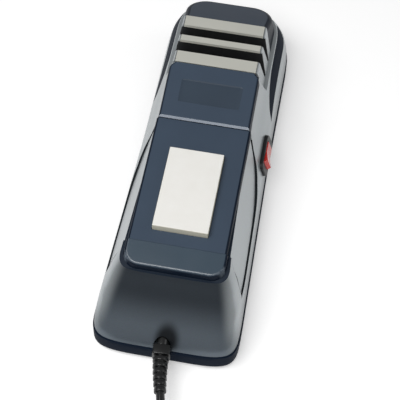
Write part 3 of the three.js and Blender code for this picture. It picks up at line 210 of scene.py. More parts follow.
def loft(name, rings):
    count = len(rings[0])
    points = [p for ring in rings for p in ring]
    faces = [tuple(range(count))[::-1], tuple(range(len(points) - count, len(points)))]
    for r in range(len(rings) - 1):
        for i in range(count):
            a, b = r * count + i, r * count + (i + 1) % count
            faces.append((a, b, b + count, a + count))
    piece = fromPoints(name, points, faces)
    outwards(piece)
    return piece


def acrossBody(name, outline, fromX, toX):
    # a prism across the body from a side outline of (place, height)
    return loft(name, [[(x, y, z) for y, z in outline] for x in (fromX, toX)])


def smoothLine(points, steps):
    # a line through given points, eased between them
    line = []
    for i in range(len(points) - 1):
        a, b, c, d = (Vector(points[min(max(k, 0), len(points) - 1)]) for k in (i - 1, i, i + 1, i + 2))
        for k in range(steps):
            t = k / steps
            line.append(tuple(0.5 * (2 * b + (c - a) * t + (2 * a - 5 * b + 4 * c - d) * t * t
                                     + (3 * b - a - 3 * c + d) * t ** 3)))
    return line + [tuple(points[-1])]


def finishPiece(piece, bodyName, nodes, material, smooth=35, weighted=False):
    activate(piece)
    bpy.ops.object.transform_apply(location=True, rotation=True, scale=True)
    # a piece with several materials keeps which of its faces has which
    several = material if isinstance(material, list) else [material]
    marks = [face.material_index for face in piece.data.polygons]
    piece.data.materials.clear()
    for each in several:
        piece.data.materials.append(each)
    for face, mark in zip(piece.data.polygons, marks):
        face.material_index = min(mark, len(several) - 1)
    bpy.ops.object.shade_smooth_by_angle(angle=math.radians(smooth))
    if weighted:
        applyModifier(piece, "WEIGHTED_NORMAL", keep_sharp=True, weight=100)
    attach(piece, bodyName)
    if nodes:
        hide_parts(*nodes)
    clear()
    return piece


# Shader nodes

def fill(tree, node, sockets):
    # another node's output is linked, anything else is the input's own value
    for name, value in sockets.items():
        if isinstance(value, bpy.types.NodeSocket):
            tree.links.new(value, node.inputs[name])
        else:
            node.inputs[name].default_value = value


def addNode(tree, kind, settings=None, sockets=None):
    node = tree.nodes.new("ShaderNode" + kind)
    for name, value in (settings or {}).items():
        setattr(node, name, value)
    fill(tree, node, sockets or {})
    return node


def reckon(tree, operation, *values):
    return addNode(tree, "Math", {"operation": operation}, dict(enumerate(values))).outputs[0]


def ranged(tree, value, start, end, low=0.0, high=1.0, kind="LINEAR"):
    # the value's run from start to end brought to a run from low to high
    return addNode(tree, "MapRange", {"interpolation_type": kind}, {
        "Value": value, "From Min": start, "From Max": end, "To Min": low, "To Max": high}).outputs[0]


def mixed(tree, share, low, high, kind="MIX"):
    # a colour blended from low to high by the share; either may be a hex colour or a socket
    low, high = (linear(c) if isinstance(c, str) else c for c in (low, high))
    return addNode(tree, "Mix", {"data_type": "RGBA", "blend_type": kind},
                   {"Factor": share, 6: low, 7: high}).outputs[2]


def noise(tree, place, size, detail):
    sockets = {"Vector": place, "Scale": 1 / (size * mm), "Detail": detail}
    return addNode(tree, "TexNoise", sockets=sockets).outputs["Fac"]


def cells(tree, place, size):
    return addNode(tree, "TexVoronoi", sockets={"Vector": place, "Scale": 1 / (size * mm)}).outputs


def raised(tree, height, depth, strength):
    # the surface's direction where it is raised by a pattern of the given depth
    return addNode(tree, "Bump", sockets={"Height": height, "Distance": depth * mm,
                                          "Strength": strength}).outputs["Normal"]


# Camera, floor and light

cameraSettings = {
    "lens": 112.365, "azimuth": 8.46, "elevation": 55.71, "roll": 2.18,
    "distance": 965.07, "target": (8.85, -58.01, 65.0), "sensor": 36, "farthest": 20000,
}


def placeCamera(s):
    turn, rise, roll = (math.radians(s[k]) for k in ("azimuth", "elevation", "roll"))
    back = Vector((math.sin(turn) * math.cos(rise), -math.cos(turn) * math.cos(rise), math.sin(rise)))
    side = Vector((math.cos(turn), math.sin(turn), 0))
    up = back.cross(side)
    right = math.cos(roll) * side + math.sin(roll) * up
    top = math.cos(roll) * up - math.sin(roll) * side
    bpy.ops.object.camera_add()
    camera = bpy.context.object
    camera.name = "photoCamera"
    camera.data.lens = s["lens"]
    camera.data.sensor_width = s["sensor"]
    camera.data.clip_end = s["farthest"] * mm
    place = (Vector(s["target"]) + back * s["distance"]) * mm
    camera.matrix_world = Matrix.Translation(place) @ Matrix((right, top, back)).transposed().to_4x4()
    bpy.context.scene.camera = camera


placeCamera(cameraSettings)

stageSettings = {
    "floorSize": 4000, "floorDrop": 0.05, "floorColour": "#f6f6f6", "floorGlow": 0.34,
    "worldColour": "#ffffff", "worldStrength": 0.3,
    "lamps": [
        # place, aims at, width, depth, watts
        ((-260, -420, 900), (0, -20, 40), 900, 380, 6.6),
        ((700, 100, 600), (0, 0, 40), 400, 400, 0.6),
    ],
}


def setStage(s):
    bpy.ops.mesh.primitive_plane_add(size=s["floorSize"] * mm, location=(0, 0, -s["floorDrop"] * mm))
    floor = bpy.context.object
    floor.name = "floor"
    material = bpy.data.materials.new("paperSweep")
    world = bpy.data.worlds.new("studio")
    bpy.context.scene.world = world
    trees = []
    for owner, ray in ((material, "Is Glossy Ray"), (world, "Is Transmission Ray")):
        # what is kept here is one for rays from the camera and of one other kind, else nothing
        owner.use_nodes = True
        tree = owner.node_tree
        tree.nodes.clear()
        path = addNode(tree, "LightPath").outputs
        trees.append((tree, reckon(tree, "MAXIMUM", path["Is Camera Ray"], path[ray])))
    tree, seen = trees[0]
    paper = addNode(tree, "BsdfDiffuse", sockets={"Color": linear(s["floorColour"])}).outputs[0]
    glow = reckon(tree, "MULTIPLY", seen, s["floorGlow"])
    light = addNode(tree, "Emission", sockets={"Strength": glow}).outputs[0]
    both = addNode(tree, "AddShader", sockets={0: paper, 1: light})
    addNode(tree, "OutputMaterial", sockets={"Surface": both.outputs[0]})
    floor.data.materials.append(material)
    tree, seen = trees[1]
    sky = addNode(tree, "Background", sockets={"Color": linear(s["worldColour"]),
                                               "Strength": ranged(tree, seen, 0, 1, s["worldStrength"])})
    addNode(tree, "OutputWorld", sockets={"Surface": sky.outputs[0]})

    for i, (place, aim, width, depth, watts) in enumerate(s["lamps"]):
        bpy.ops.object.light_add(type="AREA", location=[c * mm for c in place])
        lamp = bpy.context.object
        lamp.name = f"softbox{i + 1}"
        lamp.data.energy = watts
        lamp.data.shape = "RECTANGLE"
        lamp.data.size, lamp.data.size_y = width * mm, depth * mm
        lamp.rotation_euler = (Vector(aim) - Vector(place)).to_track_quat("-Z", "Y").to_euler()
    bpy.context.scene.view_settings.view_transform = "Standard"


setStage(stageSettings)
print("camera, floor and lamps placed")


# Materials

def startMaterial(name):
    material = bpy.data.materials.new(name)
    material.use_nodes = True
    tree = material.node_tree
    tree.nodes.clear()
    shader = addNode(tree, "BsdfPrincipled")
    addNode(tree, "OutputMaterial", sockets={"Surface": shader.outputs[0]})
    return material, tree, shader, addNode(tree, "TexCoord").outputs["Object"]


def mottled(tree, place, dark, light, cloud):
    # two close colours in soft clouds of the given size
    return mixed(tree, noise(tree, place, cloud, 3.0), dark, light)


def uneven(tree, place, low, high, cloud):
    # roughness that wanders a little, as on a handled surface
    return ranged(tree, noise(tree, place, cloud, 4.0), 0, 1, low, high)


def grain(tree, place, size, height, strength):
    # a fine raised texture of the given grain size and height
    return raised(tree, noise(tree, place, size, 2.0), height, strength)


def facingShare(tree, low, high, forward, sideways):
    # one where the surface faces up, or partly forward, nothing on its sides; sideways widens the sides over
    # edges that turn left or right
    facing = addNode(tree, "TexCoord").outputs["Normal"]
    axes = addNode(tree, "SeparateXYZ", sockets={"Vector": facing}).outputs
    ahead = reckon(tree, "MULTIPLY_ADD", axes["Y"], -forward, axes["Z"])
    total = reckon(tree, "MULTIPLY_ADD", reckon(tree, "ABSOLUTE", axes["X"]), -sideways, ahead)
    return ranged(tree, total, low, high), axes["Y"]


def paintedHighlightShare(tree, place, ahead, s):
    # a painted highlight on a band of a rolled front edge, broken up in small patches
    ramp = addNode(tree, "ValToRGB", sockets={"Fac": reckon(tree, "MULTIPLY", ahead, -1)})
    stops = ramp.color_ramp.elements
    for stop, end in zip(stops, s["ends"]):
        stop.position, stop.color = end, (0, 0, 0, 1)
    for at in s["full"]:
        stops.new(at).color = (1, 1, 1, 1)
    level = ranged(tree, noise(tree, place, s["patch"], 2.0), *s["patchRange"], s["least"])
    return reckon(tree, "MULTIPLY", ramp.outputs[0], level)


# the sides of the top pieces are painted darker than their tops, as the shade on them, and made duller
sideShadeSettings = {"facing": {"low": 0.6, "high": 0.95, "forward": 0.25, "sideways": 1}, "specular": 0.06}


def mouldedPlastic(s):
    material, tree, shader, place = startMaterial(s["name"])
    colour = mottled(tree, place, s["dark"], s["light"], s["cloud"])
    specular = s.get("specular", 0.5)
    if "side" in s:
        # painted shade: surfaces that turn away from up take the side colour
        share, ahead = facingShare(tree, **sideShadeSettings["facing"])
        colour = mixed(tree, share, s["side"], colour)
        specular = ranged(tree, share, 0, 1, sideShadeSettings["specular"], specular)
        if "paintedHighlight" in s:
            colour = mixed(tree, paintedHighlightShare(tree, place, ahead, s["paintedHighlight"]), colour, s["paintedHighlight"]["colour"])
    fill(tree, shader, {
        "Base Color": colour, "Specular IOR Level": specular, "Metallic": s.get("metallic", 0),
        "Roughness": uneven(tree, place, *s["roughness"], s["cloud"] / 3), "IOR": s.get("ior", 1.53),
        "Normal": grain(tree, place, *s["grain"]), "Coat Weight": s.get("coat", 0), "Coat Roughness": 0.1})
    return material


toolMarks = {"depth": 0.02, "strength": 0.3}


def turnedMetal(s):
    material, tree, shader, place = startMaterial(s["name"])
    # tool marks run round the shaft, so the pattern is squeezed along it
    squeezed = addNode(tree, "Mapping", sockets={"Vector": place, "Scale": s["marks"]}).outputs[0]
    fill(tree, shader, {
        "Base Color": mottled(tree, place, s["dark"], s["light"], s["cloud"]), "Metallic": 1,
        "Roughness": uneven(tree, place, *s["roughness"], s["cloud"] / 2),
        "Normal": raised(tree, noise(tree, squeezed, s["grain"], 1.0), **toolMarks)})
    return material


# Silver lacquer on ABS: fine metal flake under a satin clear coat. The nose is painted darker as the dark
# reflection it shows, fading to the flanks, with painted shade darkest under the cap and round the cord
silverSettings = {
    "name": "silverLacquer", "flankDark": "#9ea6aa", "flankLight": "#afb6b9", "cloud": 60,
    "footShade": "#6c7478", "footFrom": 18, "footTo": 38,
    "noseReflectionHigh": "#2c353e", "noseReflectionLow": "#5b6772", "slateFrom": 52, "slateTo": 24,
    "noseFrom": -105, "noseTo": -117, "sideFrom": 65, "sideTo": 51, "sideLean": 0.3,
    "cordX": 3, "cordZ": 26, "cordNear": 4, "cordFar": 13, "cordShade": "#141a20",
    "creaseFoot": (-121.5, 36.4), "creaseLean": 0.59, "creaseNear": 0.6, "creaseFar": 1.3,
    "creaseInside": 35.5, "creaseShade": "#3b4347",
    "flake": 0.5, "flakeShare": 0.06, "saturation": 0.8, "grain": (0.6, 0.01, 0.25),
    "roughness": (0.3, 0.38, 30), "metallic": 0.5,
}


def silverLacquer(s):
    material, tree, shader, place = startMaterial(s["name"])
    x, y, z = addNode(tree, "SeparateXYZ", sockets={"Vector": place}).outputs

    def eased(value, start, end):
        return ranged(tree, value, start * mm, end * mm, kind="SMOOTHERSTEP")

    def combine(operation, *values):
        return reckon(tree, operation, *values)

    # the flanks are painted darker towards the foot, as shade
    silver = mixed(tree, eased(z, s["footFrom"], s["footTo"]), s["footShade"],
                   mottled(tree, place, s["flankDark"], s["flankLight"], s["cloud"]))
    # painted dark reflection on the nose, with painted shade darkest under the cap
    noseReflection = mixed(tree, eased(z, s["slateFrom"], s["slateTo"]), s["noseReflectionHigh"], s["noseReflectionLow"])
    # round the cord the lacquer is painted nearly black, as shade in the hollow the cord leaves through
    aside, above = combine("SUBTRACT", x, s["cordX"] * mm), combine("SUBTRACT", z, s["cordZ"] * mm)
    away = combine("SQRT", combine("ADD", combine("POWER", aside, 2), combine("POWER", above, 2)))
    noseReflection = mixed(tree, eased(away, s["cordFar"], s["cordNear"]), noseReflection, s["cordShade"])
    outX = combine("ABSOLUTE", x)
    leaning = combine("ADD", outX, combine("MULTIPLY", z, s["sideLean"]))
    nose = combine("MULTIPLY", eased(y, s["noseFrom"], s["noseTo"]),
                   eased(leaning, s["sideFrom"], s["sideTo"]))
    # a thin line of painted shade where the flat wing meets the nose
    footY, footZ = s["creaseFoot"]
    behind = combine("SUBTRACT", y, footY * mm)
    line = combine("MULTIPLY", combine("SUBTRACT", z, footZ * mm), s["creaseLean"])
    off = combine("ABSOLUTE", combine("SUBTRACT", behind, line))
    crease = combine("MULTIPLY", eased(off, s["creaseFar"], s["creaseNear"]),
                     combine("MULTIPLY", eased(outX, s["creaseInside"], s["creaseInside"] + 2),
                             eased(z, footZ - 2, footZ + 1)))
    colour = mixed(tree, crease, mixed(tree, nose, silver, noseReflection), s["creaseShade"])
    # real flake is finer; it is drawn coarse enough to show
    sparkle = mixed(tree, s["flakeShare"], colour, cells(tree, place, s["flake"])["Color"], "OVERLAY")
    grey = addNode(tree, "HueSaturation", sockets={"Color": sparkle, "Saturation": s["saturation"]})
    fill(tree, shader, {"Base Color": grey.outputs[0], "Roughness": uneven(tree, place, *s["roughness"]),
                        "Normal": grain(tree, place, *s["grain"]), "Metallic": s["metallic"]})
    return material


silver = silverLacquer(silverSettings)

# Below, cloud is the size of the colour's soft spots, and grain the texture's size, height and strength.
# The bottom of the moulded grooves is painted dark, as the shade deep in them
grooveShadeLacquer = mouldedPlastic({
    "name": "grooveShadeLacquer", "dark": "#1c2226", "light": "#252b30", "cloud": 20, "roughness": (0.55, 0.65),
    "grain": (0.5, 0.01, 0.2), "specular": 0.2})
# the same lacquer painted dark on the seat of the top pieces, as the shade round them
seatShadeLacquer = mouldedPlastic({
    "name": "seatShadeLacquer", "dark": "#18222e", "light": "#1f2a38", "cloud": 20, "roughness": (0.5, 0.6),
    "grain": (0.5, 0.01, 0.2), "specular": 0.15})
# ABS moulded in a spark-eroded tool: even, matt and slightly pebbled
navyAbs = mouldedPlastic({
    "name": "navyAbs", "dark": "#101927", "light": "#162131", "cloud": 40, "roughness": (0.5, 0.58),
    "grain": (0.5, 0.02, 0.3), "specular": 0.03})
# side is the colour of the painted shade on a piece's sides and under its edges
blueAbs = mouldedPlastic({
    "name": "slateBlueAbs", "dark": "#364353", "light": "#3f4e60", "cloud": 45, "roughness": (0.36, 0.44),
    "grain": (0.5, 0.02, 0.35), "specular": 0.4, "side": "#131d2b"})
# the front cap is glossier, and a band of its rolled front edge carries a painted highlight
capAbs = mouldedPlastic({
    "name": "capBlueAbs", "dark": "#31414e", "light": "#394a58", "cloud": 45, "roughness": (0.2, 0.27),
    "grain": (0.8, 0.03, 0.5), "side": "#131d2b",
    "paintedHighlight": {"colour": "#5d6771", "ends": (0.31, 0.8), "full": (0.4, 0.62), "patch": 1.6,
               "patchRange": (0.35, 0.6), "least": 0.45}})
# the leaning step at the head cover's front is rubbed smooth by hands and blades, and painted lighter as a
# highlight
polishedStepHighlightAbs = mouldedPlastic({
    "name": "polishedStepHighlightBlueAbs", "dark": "#47576b", "light": "#4f6074", "cloud": 20, "roughness": (0.2, 0.26),
    "grain": (0.8, 0.01, 0.15)})
# the shallow plate recess has a finer, darker texture
recessAbs = mouldedPlastic({
    "name": "recessBlueAbs", "dark": "#303c4a", "light": "#374554", "cloud": 40, "roughness": (0.38, 0.46),
    "grain": (0.4, 0.02, 0.3), "specular": 0.4})
# ABS with metal powder in it: light grey, a little warm, smooth
guideAbs = mouldedPlastic({
    "name": "guideGreyAbs", "dark": "#c9c9c0", "light": "#d4d4cb", "cloud": 30, "roughness": (0.3, 0.38),
    "grain": (0.8, 0.01, 0.2), "metallic": 0.2})
blackAbs = mouldedPlastic({
    "name": "blackAbs", "dark": "#111214", "light": "#191a1c", "cloud": 20, "roughness": (0.4, 0.5),
    "grain": (0.4, 0.02, 0.3)})
blackPvc = mouldedPlastic({
    "name": "blackPvc", "dark": "#0d0e0f", "light": "#151617", "cloud": 15, "roughness": (0.24, 0.34),
    "grain": (0.6, 0.015, 0.3)})
# polycarbonate, polished in the tool
redPc = mouldedPlastic({
    "name": "redPolycarbonate", "dark": "#c4261f", "light": "#d8332a", "cloud": 12, "roughness": (0.2, 0.26),
    "grain": (1.5, 0.01, 0.15), "ior": 1.58, "coat": 0.3})
footRubber = mouldedPlastic({
    "name": "footRubber", "dark": "#1a1a1b", "light": "#242425", "cloud": 8, "roughness": (0.75, 0.85),
    "grain": (0.35, 0.03, 0.4), "ior": 1.5})
# for metals, marks are the shares by which their tool marks are squeezed along each axis
steel = turnedMetal({
    "name": "turnedSteel", "dark": "#8e9194", "light": "#a5a8ab", "cloud": 10, "roughness": (0.28, 0.4),
    "marks": (0.2, 3, 0.2), "grain": 0.4})
iron = turnedMetal({
    "name": "stackedSheet", "dark": "#4c4e51", "light": "#5d6063", "cloud": 8, "roughness": (0.45, 0.6),
    "marks": (0.05, 2, 0.05), "grain": 0.6})
bronze = turnedMetal({
    "name": "sinteredBronze", "dark": "#8a6a3a", "light": "#a5814a", "cloud": 2, "roughness": (0.4, 0.55),
    "marks": (1, 1, 1), "grain": 0.25})
copper = turnedMetal({
    "name": "enamelledCopper", "dark": "#8f4a22", "light": "#b0622f", "cloud": 3, "roughness": (0.3, 0.4),
    "marks": (0.3, 0.3, 2), "grain": 0.7})
# alumina stone: ground flat and white on top, painted darker cream on its sides as the shade on them, with
# tiny pores
stoneSettings = {
    "top": "#f6f5f1", "topWorn": "#eeece6", "cloud": 12, "side": "#d3d0bf", "roughness": 0.62, "ior": 1.6,
    "facing": {"low": 0.55, "high": 0.9, "forward": 0, "sideways": 0}, "pores": (0.7, 0.04, 0.5),
}


def firedStone(s):
    material, tree, shader, place = startMaterial("firedAlumina")
    top = mottled(tree, place, s["topWorn"], s["top"], s["cloud"])
    share = facingShare(tree, **s["facing"])[0]
    # painted shade: the sides take the darker cream
    fill(tree, shader, {"Base Color": mixed(tree, share, s["side"], top), "Roughness": s["roughness"],
                        "Normal": grain(tree, place, *s["pores"]), "IOR": s["ior"]})
    return material


# bonded grit: brown aluminium oxide grains in resin, rough to the touch
gritSettings = {"grains": 0.9, "dark": "#3d322c", "light": "#8d7867", "roughness": 0.9, "depth": 0.2,
                "strength": 0.7}


def bondedGrit(s):
    material, tree, shader, place = startMaterial("bondedGrit")
    distance = cells(tree, place, s["grains"])["Distance"]
    ramp = addNode(tree, "ValToRGB", sockets={"Fac": distance})
    for stop, colour in zip(ramp.color_ramp.elements, (s["light"], s["dark"])):
        stop.color = linear(colour)
    fill(tree, shader, {"Base Color": ramp.outputs[0], "Roughness": s["roughness"],
                        "Normal": raised(tree, distance, s["depth"], s["strength"])})
    return material


stone = firedStone(stoneSettings)
grit = bondedGrit(gritSettings)
print("materials ready")


# Cord: strain relief, one cable to the plug, its coil held by a strap

cordSettings = {
    "diameter": 6.6, "root": (0, -152.3, 22), "reliefLength": 52, "reliefBend": 14, "reliefSteps": 13,
    "coilRadius": 47, "coilPitch": 7.2, "coilLift": 1.1, "coilTurns": 5.25, "coilX": 14, "coilY": -268,
    "coilSteps": 48,
    "lead": [(7, -206.5, 22), (9.2, -215, 21), (11.2, -224, 17.6), (12.8, -234, 12), (13.7, -244, 7),
             (14, -252, 4.6), (14, -257.5, 4.4)],
    "tail": [(-43, -309.6, 11.6), (-47, -310.2, 11.6), (-52, -312.5, 11.3), (-57, -316, 9.9),
             (-61, -319, 8.2), (-65, -320.8, 7), (-69, -320.8, 6.85)],
}


def reliefFrame(s, along):
    # place and direction on the bent line of the strain relief, a distance along it
    bow = s["reliefLength"] / math.radians(s["reliefBend"])
    turn = along / bow
    x, y, z = s["root"]
    place = Vector((x + bow * (1 - math.cos(turn)), y - bow * math.sin(turn), z))
    return place, Vector((math.sin(turn), -math.cos(turn), 0))


def cordRoute(s):
    step = s["reliefLength"] / s["reliefSteps"]
    route = [tuple(reliefFrame(s, k * step)[0]) for k in range(s["reliefSteps"])]
    low = s["diameter"] / 2 + s["coilLift"]
    lead = smoothLine([route[-1], *s["lead"], (s["coilX"], s["coilY"] + s["diameter"], low)], 5)
    # the coil winds inwards on the table, then climbs and winds outwards on top of itself
    centreX = s["coilX"] - s["coilRadius"]
    turnBack = math.ceil(s["coilTurns"] / 2) * math.tau
    count = round(s["coilTurns"] * s["coilSteps"])
    coil = []
    for i in range(count + 1):
        turn = i / count * s["coilTurns"] * math.tau
        radius = s["coilRadius"] - s["coilPitch"] * (turnBack - abs(turn - turnBack)) / math.tau
        t = min(max((turn - turnBack + math.pi / 2) / math.pi, 0), 1)
        coil.append((centreX + radius * math.cos(turn), s["coilY"] - radius * math.sin(turn),
                     low + s["coilPitch"] * t * t * (3 - 2 * t)))
    tail = smoothLine([coil[-1], *s["tail"]], 5)
    return route[:-1] + lead[:-1] + coil + tail[1:]


def layCord(s):
    points = cordRoute(s)
    cord = wire("powerCord", points, s["diameter"] / 2, 5)
    cord.data.materials.append(blackPvc)
    length = sum((Vector(b) - Vector(a)).length for a, b in zip(points, points[1:]))
    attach(cord, "body")
    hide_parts("cord_lead", "cord_coil", "cord_tail")
    return cord, points, length * mm


powerCord, cordPoints, cordLength = layCord(cordSettings)
print(f"cord laid, {cordLength:.3f} m")

reliefSettings = {
    "radius": 6.3, "tip": 4.7, "ribs": 6, "gapShare": 0.32, "web": 4.4, "webLap": 0.6, "edge": 0.55,
    "core": 4.1, "cores": 10, "coreStep": 5.2, "coreLap": 0.2,
    "neck": 4.7, "neckLength": 14.5, "collar": 22.5, "collarHalf": (6.8, 5.9), "collarCorner": 2,
    # radius, length and place of what goes through the housing's wall
    "through": [("reliefNeck", 4.7, 3.4, -150.9), ("reliefFlange", 8.3, 2, -148.2),
                ("reliefInside", 4.6, 9, -144.7)],
}


def buildRelief(s):
    parts = []

    def lay(piece, along):
        # moves a piece built about the origin, its length on Z, to its place on the bent relief
        place, forward = reliefFrame(cordSettings, along)
        up = Vector((0, 0, 1))
        turn = Matrix((up.cross(forward), up, forward)).transposed().to_4x4()
        piece.data.transform(Matrix.Translation(place * mm) @ turn)
        parts.append(piece)

    def softEnds(piece):
        edit(piece)
        pick("FACE", lambda c, n: abs(n.z) > 0.9)
        bpy.ops.mesh.region_to_loop()
        roundEdges(s["edge"])
        clear()
        return piece

    def disc(radius, length, start):
        lay(softEnds(cylinder("reliefPart", radius, length, (0, 0, 0), vertices=40)), start + length / 2)

    disc(s["neck"], s["neckLength"], 0)
    # the collar has flat sides, to be held while the nut inside is turned
    (wide, high), long = s["collarHalf"], (s["collar"] - s["neckLength"]) / 2
    collar = block("reliefCollar", (-wide, -high, -long), (wide, high, long))
    roundPicked(collar, lambda a, b: abs(a.z - b.z) > long, s["collarCorner"], 2)
    lay(softEnds(collar), s["collar"] - long)
    step = (cordSettings["reliefLength"] - s["collar"]) / s["ribs"]
    gap, half = step * s["gapShare"], s["web"] / 2
    for i in range(s["ribs"]):
        start = s["collar"] + i * step
        radius = s["radius"] + (s["tip"] - s["radius"]) * (i + 1) / s["ribs"]
        disc(radius, step - gap, start + gap)
        # webs join the ribs, by turns above and below or left and right
        deep = gap / 2 + s["webLap"]
        for sign in (-1, 1):
            across, outwardRun = (-half, half), sorted((0, sign * (radius - half / 2)))
            (x0, x1), (y0, y1) = (across, outwardRun) if i % 2 else (outwardRun, across)
            lay(block("reliefWeb", (x0, y0, -deep), (x1, y1, deep)), start + gap / 2)
    for k in range(s["cores"]):
        core = cylinder("reliefCore", s["core"], s["coreStep"] + s["coreLap"], (0, 0, 0), vertices=32)
        lay(core, (k + 0.5) * s["coreStep"])
    x, _, z = cordSettings["root"]
    for name, radius, length, y in s["through"]:
        parts.append(cylinder(name, radius, length, (x, y, z), "Y", 32))
    clear()
    for part in parts:
        part.select_set(True)
    bpy.context.view_layer.objects.active = parts[0]
    bpy.ops.object.join()
    relief = bpy.context.object
    relief.name = "strainRelief"
    return finishPiece(relief, "body", ["strain_relief"], blackPvc, 40)


strainRelief = buildRelief(reliefSettings)

strapSettings = {"width": 10, "thickness": 0.7, "gap": 0.35, "sideGap": 0.8, "turnShare": 0.62, "corner": 1.6,
                 "least": 20}


def buildStrap(s):
    c = cordSettings
    turn = s["turnShare"] * math.tau
    centre = Vector((c["coilX"] - c["coilRadius"], c["coilY"], 0))
    outward = Vector((math.cos(turn), -math.sin(turn), 0))
    # distances from the coil's middle at which the cord passes under the strap
    aside = math.cos(s["width"] / c["coilRadius"])
    offsets = [Vector(p) - centre for p in cordPoints]
    near = [p.dot(outward) for p in offsets if p.xy.normalized().dot(outward.xy) > aside]
    near = [r for r in near if r > s["least"]]
    inner = min(near) - c["diameter"] / 2 - s["sideGap"]
    outer = max(near) + c["diameter"] / 2 + s["sideGap"]
    low = c["coilLift"] - s["gap"]
    high = low + c["diameter"] + c["coilPitch"] + 2 * s["gap"]
    strap = block("cordStrap", (inner - s["thickness"], -s["width"] / 2, low - s["thickness"]),
                  (outer + s["thickness"], s["width"] / 2, high + s["thickness"]))
    edit(strap)
    pick("EDGE", lambda a, b: abs(a.y - b.y) > s["width"] / 2)
    roundEdges(s["corner"], 5)
    pick("FACE", lambda p, n: abs(n.y) > 0.9)
    bpy.ops.mesh.inset(thickness=s["thickness"] * mm, depth=0)
    bpy.ops.mesh.bridge_edge_loops()
    outwards(strap)
    strap.data.transform(Matrix.Translation(centre * mm) @ Matrix.Rotation(-turn, 4, "Z"))
    return finishPiece(strap, "body", ["cord_tie"], blackAbs, 40)


cordStrap = buildStrap(strapSettings)

plugSettings = {
    "face": 35.3, "thickness": 13.7, "length": 36, "corner": 3.4, "faceEdge": 0.8, "place": (-69.3, -320.8),
    "pinRadius": 2, "pinLength": 19, "pinSpacing": 19, "pinShown": 0.3, "pinTip": 0.9,
    # shares of the length with shares of width and thickness
    "waist": [(0.38, 1, 1), (0.62, 0.62, 0.95), (0.86, 0.4, 0.84), (1, 0.32, 0.74)],
}


def buildPlug(s):
    x, y = s["place"]
    face = x - s["length"]
    middle = s["thickness"] / 2
    reached, wide, high = s["waist"][0][0] * s["length"], 1, 1
    half = s["face"] / 2
    plug = block("plugBody", (face, y - half, 0), (face + reached, y + half, s["thickness"]))
    edit(plug)
    for share, toWide, toHigh in s["waist"][1:]:
        # the body narrows towards the cord in drawn-out steps
        pick("FACE", lambda c, n: n.x > 0.9 and c.x > face + reached - 0.1)
        along = share * s["length"] - reached
        bpy.ops.mesh.extrude_region_move(TRANSFORM_OT_translate={"value": (along * mm, 0, 0)})
        stretch(1, toWide / wide, toHigh / high, (0, y, middle))
        reached, wide, high = share * s["length"], toWide, toHigh
    roundPicked(plug, lambda a, b: abs(a.x - b.x) > 2, s["corner"], 4)
    roundPicked(plug, lambda a, b: max(a.x, b.x) < face + 0.1, s["faceEdge"])
    finishPiece(plug, "body", ["plug_body"], blackPvc, 50, weighted=True)
    pins = []
    for label, side in (("left", -1), ("right", 1)):
        place = (face - s["pinLength"] / 2 - s["pinShown"], y + side * s["pinSpacing"] / 2, middle)
        pin = cylinder("plugPin" + label.title(), s["pinRadius"], s["pinLength"], place, "X", 32)
        roundPicked(pin, lambda a, b: max(a.x, b.x) < face - s["pinLength"], s["pinTip"], 4)
        pins.append(finishPiece(pin, "body", ["plug_pin_" + label], steel, 50))
    return plug, pins


plugBody, plugPins = buildPlug(plugSettings)
print("cord, strain relief, strap and plug made")


# The two shells of the body and the strips let into its flanks

